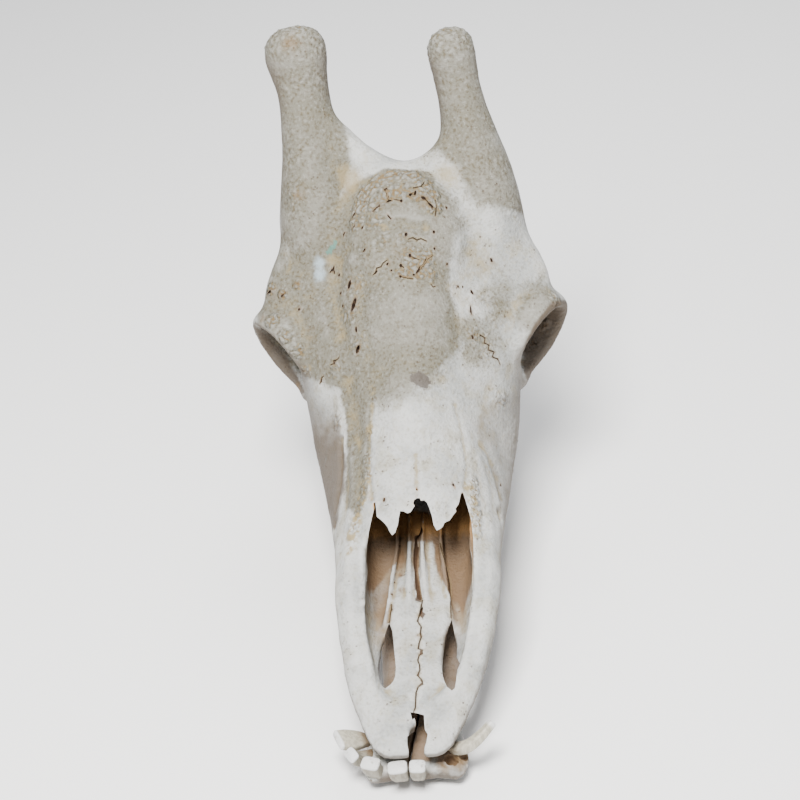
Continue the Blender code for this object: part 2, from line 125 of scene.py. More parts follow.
HEAD_GRAIN = 5.0
BONE_GRAIN = 3.0
RING_SPACING = 5.0
RING_POINTS = 48
SECTIONS = [
    (-2, [(0, 15), (10, 16), (19, 16), (25, 13), (25, 8), (20, 4), (9, 3), (0, 3)]),
    (8, [(0, 17), (13, 19), (25, 19), (32, 15), (32, 8), (25, 3), (11, 2), (0, 3)]),
    (28, [(0, 21), (18, 23), (32, 24), (41, 18), (41, 11), (32, 4), (14, 4), (0, 5)]),
    (60, [(0, 30), (25, 32), (42, 33), (52, 27), (52, 18), (42, 7), (18, 7), (0, 9)]),
    (100, [(0, 43), (28, 45), (49, 46), (60, 39), (60, 27), (48, 9), (20, 10), (0, 13)]),
    (145, [(0, 57), (32, 59), (52, 60), (65, 51), (65, 36), (52, 11), (22, 12), (0, 16)]),
    (168, [(0, 80), (20, 78), (41, 68), (57, 60), (66, 45), (58, 12), (23, 13), (0, 17)]),
    (188, [(0, 90), (22, 88), (42, 77), (60, 62), (67, 44), (60, 12), (24, 14), (0, 19)]),
    (215, [(0, 100), (20, 98), (38, 88), (56, 66), (69, 42), (65, 14), (28, 17), (0, 22)]),
    (250, [(0, 118), (20, 114), (38, 101), (56, 78), (72, 46), (72, 15), (34, 18), (0, 26)]),
    (290, [(0, 137), (22, 132), (42, 117), (62, 90), (80, 52), (76, 17), (36, 19), (0, 28)]),
    (330, [(0, 158), (26, 154), (52, 138), (78, 108), (89, 62), (80, 20), (36, 20), (0, 29)]),
    (362, [(0, 174), (30, 170), (64, 152), (101, 120), (93, 76), (74, 26), (36, 22), (0, 30)]),
    (392, [(0, 194), (34, 188), (72, 166), (126, 134), (98, 90), (60, 44), (34, 34), (0, 34)]),
    (425, [(0, 218), (38, 210), (80, 188), (116, 152), (76, 104), (50, 62), (34, 44), (0, 40)]),
    (460, [(0, 223), (40, 218), (82, 197), (92, 162), (56, 120), (46, 78), (32, 52), (0, 44)]),
    (500, [(0, 203), (36, 199), (60, 186), (60, 152), (50, 112), (48, 80), (34, 54), (0, 46)]),
    (540, [(0, 176), (30, 171), (50, 157), (58, 132), (60, 104), (52, 76), (34, 54), (0, 47)]),
    (572, [(0, 148), (22, 144), (40, 132), (54, 112), (56, 90), (46, 66), (28, 52), (0, 49)]),
    (583, [(0, 134), (16, 130), (30, 120), (42, 106), (44, 90), (36, 70), (22, 56), (0, 54)]),
]
HORN_LEFT = [
    (62, 440, 158, 44, 44), (64, 458, 190, 38, 40), (63, 477, 222, 29, 30), (58, 494, 251, 22, 22),
    (54, 508, 276, 20, 19.5), (51, 519, 297, 21.5, 21), (49, 526, 311, 19.5, 18),
    (48, 529, 317, 11, 10)]
HORN_RIGHT = [
    (-64, 440, 158, 44, 44), (-70, 458, 192, 36, 40), (-73, 478, 228, 27, 30),
    (-75, 497, 258, 24, 23),
    (-77, 511, 284, 23.5, 22), (-80, 522, 304, 28, 25), (-81, 531, 318, 25, 22),
    (-81.5, 535, 325, 15, 13)]
SADDLE = [
    (-68, 494, 268, 8, 8), (-54, 484, 250, 14, 12), (-32, 468, 231, 15, 15), (0, 458, 216, 15, 17),
    (30, 463, 223, 14, 14), (48, 478, 242, 11, 11), (56, 490, 262, 8, 8)]


def hermite(keys, values, at):
    """The value at a place on a smooth curve through keys and values."""
    last = len(keys) - 1
    i = max(j for j in range(last) if j == 0 or keys[j] <= at)

    def slope(j):
        low, high = max(j - 1, 0), min(j + 1, last)
        return (values[high] - values[low]) / (keys[high] - keys[low])

    span = keys[i + 1] - keys[i]
    t = min(max((at - keys[i]) / span, 0.0), 1.0)
    rise = (1 + 2 * t) * (1 - t) ** 2 * values[i] + t * t * (3 - 2 * t) * values[i + 1]
    turn = t * (1 - t) ** 2 * slope(i) - t * t * (1 - t) * slope(i + 1)
    return rise + turn * span


def smooth_ring(half, count):
    """A closed smooth ring through a half section and its mirror image."""
    points = [Vector(p) for p in half] + [Vector((-x, z)) for x, z in half[-2:0:-1]]
    n = len(points)
    ring = []
    for k in range(count):
        i, t = divmod(k * n / count, 1.0)
        a, b, c, d = (points[(int(i) + j) % n] for j in (-1, 0, 1, 2))
        ring.append(0.5 * (2 * b + (c - a) * t + (2 * a - 5 * b + 4 * c - d) * t ** 2
                           + (3 * b - a - 3 * c + d) * t ** 3))
    return ring


def placed(name, shape):
    """A mesh object made from a bmesh."""
    bmesh.ops.recalc_face_normals(shape, faces=shape.faces)
    mesh = bpy.data.meshes.new(name)
    shape.to_mesh(mesh)
    shape.free()
    obj = bpy.data.objects.new(name, mesh)
    bpy.context.scene.collection.objects.link(obj)
    return obj


def bridged(name, rings):
    """A closed solid over rings of points, capped at both ends."""
    shape = bmesh.new()
    loops = [[shape.verts.new(p) for p in ring] for ring in rings]
    for one, two in zip(loops, loops[1:]):
        for k in range(len(one)):
            j = (k + 1) % len(one)
            shape.faces.new((one[k], one[j], two[j], two[k]))
    shape.faces.new(loops[0][::-1])
    shape.faces.new(loops[-1])
    return placed(name, shape)


def section_loft(name, sections):
    """A solid through cross-sections square to y, each given as a half section."""
    keys = [y for y, _ in sections]
    count = int((keys[-1] - keys[0]) / RING_SPACING)
    rings = []
    for k in range(count + 1):
        y = keys[0] + (keys[-1] - keys[0]) * k / count
        half = [[hermite(keys, [s[1][p][c] for s in sections], y) for c in (0, 1)]
                for p in range(len(sections[0][1]))]
        rings.append([(x, y, z) for x, z in smooth_ring(half, RING_POINTS)])
    return bridged(name, rings)


def rounded(value, square):
    """A cosine or sine drawn towards a square's, for square of less than 1."""
    return math.copysign(abs(value) ** square, value)


def sweep(name, stations, side=(1, 0, 0), count=20, step=4.0, flip=1, square=1.0):
    """A tube of changing oval section through stations x, y, z, half width, half depth."""
    stations = [(flip * s[0],) + tuple(s[1:]) for s in stations]
    side = Vector((flip * side[0], side[1], side[2]))
    keys = [0.0]
    for a, b in zip(stations, stations[1:]):
        keys.append(keys[-1] + (Vector(b[:3]) - Vector(a[:3])).length)
    steps = max(3, int(keys[-1] / step))
    track = [[hermite(keys, [s[c] for s in stations], keys[-1] * k / steps) for c in range(5)]
             for k in range(steps + 1)]
    turns = [2 * math.pi * j / count for j in range(count)]
    rings = []
    for k, (x, y, z, wide, deep) in enumerate(track):
        ahead = Vector(track[min(k + 1, steps)][:3]) - Vector(track[max(k - 1, 0)][:3])
        across = (side - ahead * side.dot(ahead) / ahead.length_squared).normalized()
        other = ahead.cross(across).normalized()
        rings.append([Vector((x, y, z)) + across * wide * rounded(math.cos(turn), square)
                      + other * deep * rounded(math.sin(turn), square) for turn in turns])
    return bridged(name, rings)


def blob(name, centre, radii, turn=(0, 0, 0)):
    """An ellipsoid, turned by degrees about x, then y, then z."""
    shape = bmesh.new()
    bmesh.ops.create_uvsphere(shape, u_segments=20, v_segments=14, radius=1)
    bmesh.ops.scale(shape, vec=radii, verts=shape.verts)
    for degrees, axis in zip(turn, "XYZ"):
        spin = Matrix.Rotation(math.radians(degrees), 3, axis)
        bmesh.ops.rotate(shape, cent=(0, 0, 0), matrix=spin, verts=shape.verts)
    bmesh.ops.translate(shape, vec=centre, verts=shape.verts)
    return placed(name, shape)


def joined(name, objects):
    """One object holding several overlapping meshes."""
    shape = bmesh.new()
    for obj in objects:
        shape.from_mesh(obj.data)
        bpy.data.objects.remove(obj)
    return placed(name, shape)


def baked(obj):
    """Applies an object's modifiers."""
    graph = bpy.context.evaluated_depsgraph_get()
    mesh = bpy.data.meshes.new_from_object(obj.evaluated_get(graph))
    obj.modifiers.clear()
    obj.data = mesh
    return obj


def softened(obj, rounds):
    """Creases worn round."""
    soften = obj.modifiers.new("soften", "SMOOTH")
    soften.factor = 0.5
    soften.iterations = rounds
    return baked(obj)


def fused(obj, grain, rounds):
    """Overlapping forms grown into one skin, with its creases softened."""
    remesh = obj.modifiers.new("grow_together", "REMESH")
    remesh.mode = "VOXEL"
    remesh.voxel_size = grain
    return softened(baked(obj), rounds)


head_forms = [
    section_loft("head", SECTIONS),
    sweep("horn_left", HORN_LEFT),
    sweep("horn_right", HORN_RIGHT),
    sweep("saddle", SADDLE, side=(0, 0.8, 0.6)),
    blob("brow_boss", (3, 404, 192), (50, 64, 24), (34, 0, 0)),
    blob("brow_ridge", (2, 345, 150), (40, 70, 27), (33, 0, 0)),
    blob("nasal_ridge", (1, 262, 96), (30, 90, 30), (33, 0, 0)),
]
head = fused(joined("head", head_forms), HEAD_GRAIN, 10)


# The cranium: its thin forms
# The collars of the eye sockets, the cheek arches, and the processes and knobs of the
# skull's base are thinner bone, grown onto the head.

ORBIT = (109, 376, 98)
ORBIT_FACING = (0.80, -0.60, -0.28)
ORBIT_RADIUS = 36.0
COLLAR = (14.0, 6.5)
COLLAR_STEPS = 24
COLLAR_OUT = 5
CHEEK_ARCH = [
    (88, 362, 62, 9, 11), (101, 392, 68, 6, 11), (104, 430, 74, 5, 9), (98, 475, 84, 6, 9),
    (82, 500, 92, 9, 10), (56, 512, 94, 12, 12)]
PAROCCIPITAL = [
    (52, 556, 76, 9, 11), (50, 560, 50, 7, 10), (46, 560, 28, 4, 7), (45, 560, 20, 2, 3)]
PTERYGOID = [
    (26, 398, 40, 3.5, 18), (25, 425, 32, 3, 16), (24, 450, 36, 3, 14), (24, 475, 46, 4, 8)]


def orbit_collar(flip):
    """The collar of bone round an eye, reaching back into the head."""
    out = Vector((flip * ORBIT_FACING[0], *ORBIT_FACING[1:])).normalized()
    centre = Vector((flip * ORBIT[0], *ORBIT[1:])) - out * (COLLAR[0] - COLLAR_OUT)
    up = (Vector((0, 0, 1)) - out * out.z).normalized()
    fore = up.cross(out)
    ring = []
    for k in range(COLLAR_STEPS + 1):
        turn = 2 * math.pi * k / COLLAR_STEPS
        p = centre + (up * math.cos(turn) + fore * math.sin(turn)) * ORBIT_RADIUS
        ring.append((p.x, p.y, p.z, *COLLAR))
    return sweep("orbit_collar", ring, side=out)


thin_forms = [blob("crest", (0, 561, 146), (44, 13, 16))]
for flip in (1, -1):
    thin_forms.append(orbit_collar(flip))
    thin_forms.append(sweep("cheek_arch", CHEEK_ARCH, side=(1, 0.2, 0), flip=flip))
    thin_forms.append(blob("condyle", (flip * 24, 586, 68), (14, 18, 24), (0, flip * 20, 0)))
    thin_forms.append(sweep("paroccipital", PAROCCIPITAL, flip=flip))
    thin_forms.append(blob("ear_bulla", (flip * 34, 520, 48), (12, 20, 13)))
    thin_forms.append(sweep("pterygoid", PTERYGOID, flip=flip))
cranium = fused(joined("cranium_bone", [head] + thin_forms), BONE_GRAIN, 4)


# The cranium: its hollows
# The nasal chamber, the eye sockets, the palate's long fissures, the gap between the
# two halves of the muzzle, the nerve holes and the way to the brain are open bone.

CHAMBER = [
    (36, 14, 24, 24, 8, 60), (50, 25, 22, 24, 16, 70), (80, 33, 20, 24, 18, 74),
    (118, 39, 20, 27, 24, 70), (150, 40, 20, 28, 21, 62), (168, 41, 20, 28, 19, 69),
    (188, 41, 21, 28, 17, 80), (215, 42, 25, 30, 14, 88), (250, 43, 29, 33, 12, 103),
    (290, 42, 32, 35, 12, 120), (330, 30, 35, 38, 10, 122), (362, 22, 37, 40, 8, 96),
    (392, 19, 36, 38, 7, 78), (420, 17, 14, 14, 7, 68),
]
MUZZLE_GAP = [
    (2.5, -30, 12, 4.5, 30), (2.5, 0, 12, 4.5, 30), (2.2, 14, 12, 5.2, 30), (1.5, 24, 12, 3.6, 30),
    (1.5, 40, 12, 3.4, 30)]
BRAIN_WAY = [(0, 620, 74, 17, 17), (0, 575, 76, 16, 15), (0, 540, 84, 15, 15), (0, 520, 88, 8, 8)]
EYE_HOLLOW = [
    (149, 346, 84, 33, 33), (109, 376, 98, 31, 31), (90, 390, 102, 29, 29), (62, 410, 106, 20, 20),
    (40, 424, 110, 8, 8)]
CHEEK_HOLE = [(90, 200, 42, 4, 5), (66, 216, 45, 4, 5), (52, 238, 50, 3, 4)]
NOSE_OPENING = [
    (-20, 40), (-29, 56), (-34, 88), (-37.5, 108), (-39.5, 130), (-39.5, 165), (-34, 178),
    (-18, 160),
    (0, 155), (18, 158), (32, 170), (40, 186), (43, 165), (43, 130), (41, 108), (38, 88),
    (33, 62), (20, 40)]
OPENING_HEIGHTS = (27.5, 200)


def prism(name, outline, low, high, place=None):
    """A flat outline raised from low to high. A place function then moves each point."""
    shape = bmesh.new()
    floor = shape.faces.new([shape.verts.new((u, v, low)) for u, v in outline])
    raised = bmesh.ops.extrude_face_region(shape, geom=[floor])["geom"]
    bmesh.ops.translate(shape, vec=(0, 0, high - low),
                        verts=[g for g in raised if isinstance(g, bmesh.types.BMVert)])
    for vert in shape.verts if place else ():
        vert.co = place(*vert.co)
    return placed(name, shape)


def chamber_section(wide, low, step, step_wide, high):
    """Half a section of the nasal chamber, with its raised middle floor."""
    return [(0, high), (wide * 0.6, high - 5), (wide, (low + high) * 0.55), (wide, low + 9),
            (wide * 0.86, low), (step_wide + 3, low + 1), (step_wide - 3, step), (0, step)]


def cut(obj, cutters):
    """Takes the cutters' forms out of an object, and the cutters out of the scene."""
    for cutter in cutters:
        boolean = obj.modifiers.new("cut", "BOOLEAN")
        boolean.operation = "DIFFERENCE"
        boolean.solver = "EXACT"
        boolean.object = cutter
    baked(obj)
    for cutter in cutters:
        bpy.data.objects.remove(cutter)
    return obj


hollows = [
    section_loft("chamber", [(c[0], chamber_section(*c[1:])) for c in CHAMBER]),
    sweep("muzzle_gap", MUZZLE_GAP),
    sweep("brain_way", BRAIN_WAY),
    prism("nose_opening", NOSE_OPENING, *OPENING_HEIGHTS),
]
for flip in (1, -1):
    hollows.append(blob("palate_fissure", (flip * 25, 91, 15), (5, 30, 44)))
    hollows.append(sweep("eye_hollow", EYE_HOLLOW, side=(0, 1, 0), flip=flip))
    hollows.append(sweep("cheek_hole", CHEEK_HOLE, side=(0, 1, 0), flip=flip))
cut(cranium, hollows)
cranium = fused(cranium, BONE_GRAIN, 3)


# The cranium: its sockets, nose floor and skin
# Each row of upper cheek teeth stands in one open groove of the jaw bone. Thin ridges
# run down the floor of the nose. The skin of the bone is then worked at a finer grain,
# and the muzzle drifts to the animal's right.

SKIN_GRAIN = 1.6
NOSE_RIDGES = [
    [(-19, 232, 36, 1.5, 3), (-17, 205, 32, 1.7, 3.5), (-22, 165, 28, 1.6, 3),
     (-28, 122, 22, 1.2, 2)],
    [(20, 232, 36, 1.5, 3), (18, 205, 32, 1.7, 3.5), (21, 165, 28, 1.6, 3), (26, 122, 22, 1.2, 2)],
    [(-7, 236, 35, 1.6, 3.5), (-7.5, 200, 31.5, 2, 3.5), (-8, 165, 29.5, 2.2, 2.5),
     (-8, 138, 27, 2, 1)],
    [(5, 236, 35, 1.6, 3.5), (3, 200, 31.5, 2, 3.5), (4, 165, 29.5, 2.2, 2.5), (6, 138, 27, 2, 1)],
]
MUZZLE_DRIFT = 7.0
DRIFT_START = 150.0
TOOTH_GAP = 0.4
ROOT = 7.0
UPPER_CROWN = (0.3, 19.0)
UPPER_TEETH = [
    ("premolar_2", 234, 254, 44, 21), ("premolar_3", 255, 275, 46, 23),
    ("premolar_4", 276, 296, 48, 24),
    ("molar_1", 297, 324, 50, 26), ("molar_2", 325, 353, 51, 27), ("molar_3", 354, 381, 50, 25),
]


def socket_row(teeth, crown, flip):
    """The open groove that a row of cheek teeth stands in."""
    bite, neck = crown
    away = math.copysign(1, neck - bite)
    low = neck - 14 * away
    high = neck + (ROOT + 2 * TOOTH_GAP) * away
    outline = []
    for side in (1, -1):
        edge = []
        for _, first, last, middle, wide in teeth:
            out = flip * middle + side * (wide / 2 + TOOTH_GAP)
            edge += [(out, first + 3), (out, last - 3)]
        ends = [(flip * teeth[0][3] + side * 5, teeth[0][1] - TOOTH_GAP)]
        tips = [(flip * teeth[-1][3] + side * 5, teeth[-1][2] + TOOTH_GAP)]
        run = ends + edge + tips
        outline += run if side == 1 else run[::-1]
    return prism("socket_row", outline, min(low, high), max(low, high))


def grown(obj):
    """The muzzle's drift to one side."""
    for vertex in obj.data.vertices:
        t = min(max(vertex.co.y / DRIFT_START, 0.0), 1.0)
        vertex.co.x -= MUZZLE_DRIFT * (1 - t * t * (3 - 2 * t))
    return obj


cut(cranium, [socket_row(UPPER_TEETH, UPPER_CROWN, flip) for flip in (1, -1)])
ridges = [sweep("nose_ridge", ridge, count=10, step=3) for ridge in NOSE_RIDGES]
cranium = grown(fused(joined("cranium_bone", [cranium] + ridges), SKIN_GRAIN, 2))


# The cranium: its rough skin
# Bone is never quite even. The boss on the brow, the knobs of the horns, the rims of the
# eye sockets and the back of the head, where muscle and horn skin held on, are coarse
# and warty. Each rough place is a spot, its reach, height and grain in millimetres.

CRANIUM_TRIANGLES = 184000
ROUGH_SEEN = [
    (356, 222, 10, 1.3, 4), (360, 206, 11, 1.6, 4), (366, 192, 11, 1.8, 5), (377, 182, 11, 1.8, 5),
    (389, 177, 11, 1.7, 5), (401, 175, 10, 1.6, 5), (413, 177, 10, 1.6, 5), (423, 184, 11, 1.8, 5),
    (431, 195, 10, 1.8, 5), (434, 207, 9, 1.5, 4), (388, 194, 11, 1.6, 4), (402, 192, 10, 1.4, 4),
    (416, 194, 10, 1.6, 4), (376, 204, 10, 1.4, 4), (372, 222, 12, 0.9, 4), (405, 236, 11, 0.7, 4),
    (383, 240, 13, 0.6, 4), (410, 256, 11, 1.3, 4), (424, 258, 11, 1.4, 4), (416, 270, 12, 1.4, 4),
    (403, 272, 9, 1.1, 4), (430, 274, 8, 1.1, 4), (365, 250, 12, 0.6, 4), (356, 285, 14, 0.7, 4),
    (352, 312, 14, 0.8, 4), (376, 290, 16, 0.4, 4), (360, 345, 12, 0.7, 4), (271, 289, 7, 2.0, 4),
    (283, 294, 6, 1.6, 4), (297, 285, 6, 1.0, 4), (258, 306, 10, 1.4, 4), (272, 320, 9, 1.5, 4),
    (285, 336, 8, 1.3, 4), (297, 351, 8, 1.3, 4), (307, 372, 8, 1.0, 4), (556, 300, 10, 1.2, 4),
    (542, 322, 9, 1.2, 4), (530, 345, 9, 1.3, 4), (533, 368, 9, 1.0, 4), (478, 300, 12, 0.5, 4),
    (474, 335, 11, 0.7, 4), (488, 350, 10, 0.8, 4), (270, 262, 8, 2.2, 6), (275, 245, 7, 1.6, 5),
    (292, 150, 20, 0.4, 6), (292, 195, 20, 0.5, 5), (490, 118, 14, 0.4, 6), (503, 165, 16, 0.4, 6),
    (515, 208, 18, 0.4, 6), (370, 430, 7, 0.8, 3), (367, 460, 7, 0.9, 3), (364, 490, 7, 1.0, 3),
    (357, 515, 8, 0.8, 3), (352, 540, 7, 0.6, 3), (474, 480, 7, 0.9, 3), (474, 500, 8, 1.2, 3),
    (475, 522, 8, 1.2, 3), (474, 490, 9, 1.0, 3), (475, 511, 9, 1.1, 3), (476, 532, 8, 0.7, 3),
    (367, 475, 8, 0.8, 3), (361, 503, 9, 0.9, 3), (355, 528, 9, 0.8, 3), (387, 505, 9, 0.5, 3),
    (440, 510, 9, 0.5, 3), (500, 400, 12, 0.8, 6),
    (338, 420, 12, 0.8, 6), (335, 370, 10, 0.7, 5), (417, 470, 12, 0.3, 4)]
ROUGH_PLACES = [
    (-80, 531, 312, 32, 1.2, 5), (49, 527, 306, 28, 1.1, 5), (-78, 512, 290, 26, 0.6, 6),
    (52, 512, 280, 24, 0.6, 6), (0, 565, 150, 50, 0.8, 6), (30, 560, 140, 38, 0.7, 5),
    (-30, 560, 140, 38, 0.7, 7), (0, 580, 110, 50, 0.5, 6), (30, 4, 12, 16, 0.5, 4),
    (-38, 4, 12, 16, 0.5, 4), (104, 430, 74, 26, 0.7, 5), (-104, 430, 74, 26, 0.7, 5),
    (84, 470, 100, 30, 0.6, 5), (-84, 470, 100, 30, 0.6, 5), (70, 300, 40, 40, 0.4, 5),
    (-70, 300, 40, 40, 0.4, 5), (0, 480, 45, 50, 0.6, 5)]
MOULDED = [
    (6, -2.6, [(341, 440), (341, 467), (339.5, 486), (335, 512)]),
    (9, -1.8, [(484, 445), (491, 460), (497, 477), (501, 497)]),
    (9, 1.6, [(352, 450), (354, 480), (351, 515), (348, 560), (350, 610), (356, 660)]),
    (9, 1.6, [(478, 460), (485, 485), (489, 515), (491, 560), (487, 610), (479, 660)]),
    (5, -1.3, [(372, 405), (369, 440), (369, 470), (371, 498)]),
    (5, -1.1, [(455, 405), (463, 435), (467, 465), (465, 487)]),
    (18, -2.6, [(347, 385), (353, 415), (357, 440)]),
    (18, -2.2, [(490, 390), (484, 415), (479, 438)]),
    (4, -0.8, [(416, 455), (416.5, 496)]),
    (13, 1.8, [(352, 262), (350, 290), (353, 320), (359, 350)]),
    (14, -2.2, [(333, 262), (334, 300), (340, 335)]),
    (12, 2.0, [(281, 264), (283, 252)]),
    (12, 1.5, [(372, 205), (384, 186), (402, 178), (420, 184), (431, 203)]),
    (9, -1.5, [(384, 226), (402, 224), (424, 228)]),
    (10, 1.4, [(404, 262), (424, 264)]),
]


def coordinates(obj, normals=False):
    """The places or normals of an object's vertices, as rows."""
    flat = numpy.zeros(len(obj.data.vertices) * 3)
    if normals:
        obj.data.vertex_normals.foreach_get("vector", flat)
    else:
        obj.data.vertices.foreach_get("co", flat)
    return flat.reshape(-1, 3)


def skin_of(obj):
    """An object's surface, for finding the place that a sight meets."""
    return BVHTree.FromPolygons([v.co for v in obj.data.vertices],
                                [p.vertices for p in obj.data.polygons])


def met(skin, u, v):
    """The place and the facing of the bone that the camera sees at a pixel."""
    place, facing, _, _ = skin.ray_cast(EYE, sight(u, v))
    return place, facing


def spots_on(skin, seen, places=()):
    """Spots read from the photograph set on the bone, with those given in its own frame."""
    spots = [(*met(skin, s[0], s[1])[0], *s[2:]) for s in seen if met(skin, s[0], s[1])[0]]
    return spots + list(places)


def traced(skin, line, step=2.0):
    """The places and facings of the bone along a line of pixels."""
    found = []
    for (u, v), (s, t) in zip(line, line[1:]):
        steps = max(1, round(math.hypot(s - u, t - v) / step))
        found += [met(skin, u + (s - u) * k / steps, v + (t - v) * k / steps) for k in range(steps)]
    found.append(met(skin, *line[-1]))
    return [(place, facing) for place, facing in found if place]


def distances(obj, places):
    """How far each vertex is from the nearest of some places."""
    nearest = KDTree(len(places))
    for k, place in enumerate(places):
        nearest.insert(place, k)
    nearest.balance()
    return numpy.array([nearest.find(co)[2] for co in coordinates(obj)])


def moulded(obj, lines):
    """Soft ridges along lines of pixels, and grooves where the height is below nothing."""
    skin = skin_of(obj)
    lift = numpy.zeros(len(obj.data.vertices))
    for reach, tall, line in lines:
        track = [place for place, _ in traced(skin, line)]
        near = numpy.clip(1 - distances(obj, track) / reach, 0, 1)
        lift += tall * near * near * (3 - 2 * near)
    facing = coordinates(obj, normals=True)
    lift *= numpy.clip(2 * facing @ numpy.array(BACK), 0, 1)
    obj.data.vertices.foreach_set("co", (coordinates(obj) + facing * lift[:, None]).ravel())
    obj.data.update()
    return obj


def roughened(obj, spots):
    """Low swellings all over, and coarse warts within the rough spots."""
    places = coordinates(obj)
    height = numpy.zeros(len(places))
    grain = numpy.full(len(places), 5.0)
    for x, y, z, reach, tall, size in spots:
        near = 1 - numpy.linalg.norm(places - (x, y, z), axis=1) / reach
        here = tall * numpy.clip(near * 1.8, 0, 1) ** 0.7 * (near > 0)
        grain = numpy.where(here > height, size, grain)
        height = numpy.maximum(height, here)
    lift = numpy.zeros(len(places))
    for k, place in enumerate(places):
        spot = Vector(place)
        lift[k] = 0.55 * noise.noise(spot / 26) + 0.16 * noise.noise(spot / 7)
        if height[k] > 0.02:
            wart = abs(noise.noise(spot / grain[k] + Vector((7, 0, 0)))) * 2.2 - 0.55
            lift[k] += height[k] * (wart + 0.45 * noise.noise(spot / (grain[k] * 0.42)))
    places += coordinates(obj, normals=True) * lift[:, None]
    obj.data.vertices.foreach_set("co", places.ravel())
    obj.data.update()
    return obj


def thinned(obj, triangles):
    """Fewer triangles, fewest where the surface is plain."""
    obj.modifiers.new("split", "TRIANGULATE")
    count = len(baked(obj).data.polygons)
    if count > triangles:
        fewer = obj.modifiers.new("fewer", "DECIMATE")
        fewer.ratio = triangles / count
        baked(obj)
    return obj


rough_spots = spots_on(skin_of(cranium), ROUGH_SEEN, ROUGH_PLACES)
thinned(roughened(moulded(cranium, MOULDED), rough_spots), CRANIUM_TRIANGLES)


# The cranium: the broken edge of the nose and the clefts of its floor
# The nasal bones end in a thin, ragged, broken fringe over the open nose. The floor has
# a slit along its middle and a long cleft on each side. Their lines are read from the
# photograph, in pixels, and cut down the camera's sight.

FRINGE = [
    (374.5, 508), (374, 503), (375.5, 502), (376.2, 508), (377, 516.5), (380, 519), (383.3, 521.8),
    (385, 523.5), (387.6, 526.7), (389.4, 531), (392.4, 535.4), (395.5, 532), (396.6, 528),
    (397.9, 524.8),
    (399.1, 516.4), (400.3, 511), (403.9, 511.4), (407.6, 513.3), (410.6, 512), (413.6, 507.3),
    (414.7, 505.8), (413.2, 503), (414.2, 500), (416.7, 498), (419.7, 498), (420.9, 500.6),
    (423.9, 500.2),
    (427, 502.4), (429.4, 508), (431.8, 515.2), (433.6, 524.8), (436.7, 530.4), (439.7, 529.1),
    (442.7, 526.7), (444, 523.2), (446.4, 521.6), (449.4, 520.6), (453, 515.2), (456.2, 511.5),
    (455.4, 508.5), (458.5, 504), (460.8, 493.5), (463, 493), (467.5, 507), (471.1, 520.4),
    (473, 538),
    (473.4, 551), (473.4, 578), (472, 595), (468, 612), (371, 620), (366.6, 596), (366.6, 568.6),
    (367.2, 550), (368.9, 532), (372, 518),
]
FRINGE_HEIGHTS = (135, 50)
SLIT = [
    (421.5, 527), (423, 530), (421, 535), (417, 538.5), (418, 548), (419, 560), (418.6, 572),
    (420, 582),
    (421.5, 592), (422.5, 598), (420.5, 600.3), (417.5, 599), (416, 590), (415, 575), (413.8, 560),
    (414.4, 545), (415.5, 538), (419, 534.5), (420.5, 530.5),
]
SLIT_HOLE = [(422.5, 606), (423.4, 609), (422.3, 613), (420.6, 616), (420, 613), (421.2, 609)]
SLIT_HEIGHTS = (37, 24)
CLEFT_LEFT = [
    (389.4, 623), (391, 627), (392.4, 631), (394.2, 648), (396.1, 667), (395.5, 676), (393.5, 681),
    (390.6, 684.5), (385.2, 688.5), (380.9, 684.2), (379.6, 680), (379.1, 674.5), (379.7, 662.4),
    (382.7, 651.5), (385.2, 634.5), (387.6, 626.7)]
CLEFT_RIGHT = [
    (451.6, 619.4), (452.6, 624), (453.6, 628.5), (455.5, 640.6), (456.7, 652.7), (455.8, 657.6),
    (457.6, 659), (458.5, 661), (459.9, 663.6), (458.4, 667), (457.3, 669.7), (456.6, 675),
    (456.1, 680.6),
    (454.8, 687.9), (451.8, 690.5), (447, 686.7), (444.6, 682), (442.7, 675.8), (442.1, 669.7),
    (443.3, 655.2), (445.2, 640.6), (448.2, 628.5)]
CLEFT_HEIGHTS = (34, -1)
TIP_BREAK = [
    (410.4, 712), (417, 713), (424, 715), (424.3, 723), (425.2, 730), (427.8, 734), (426.6, 741),
    (424.5, 748), (423.5, 768), (409.2, 768), (408.8, 752), (407.4, 744), (407.4, 736.5),
    (411, 734),
    (414.6, 731.4), (416, 724), (414.6, 718), (412.4, 719.5), (411.4, 716)]
TIP_HEIGHTS = (50, 0)


def sighted(name, outline, high, low):
    """A cutter down the camera's sight through an outline in pixels, between two heights."""
    return bridged(name, [[seen_at_height(u, v, z) for u, v in outline] for z in (high, low)])


cut(cranium, [sighted("fringe", FRINGE, *FRINGE_HEIGHTS),
              sighted("slit", SLIT, *SLIT_HEIGHTS),
              sighted("slit_hole", SLIT_HOLE, *SLIT_HEIGHTS),
              sighted("cleft_left", CLEFT_LEFT, *CLEFT_HEIGHTS),
              sighted("cleft_right", CLEFT_RIGHT, *CLEFT_HEIGHTS),
              sighted("tip_break", TIP_BREAK, *TIP_HEIGHTS)])


# The cranium: pits and pores
# Vessels and nerves left pits and slits in the brow and cheeks, and old bone has opened
# into holes beside the nose. Each is placed by its pixel in the photograph, with its
# length, width and depth in millimetres and its turn from upright in degrees.

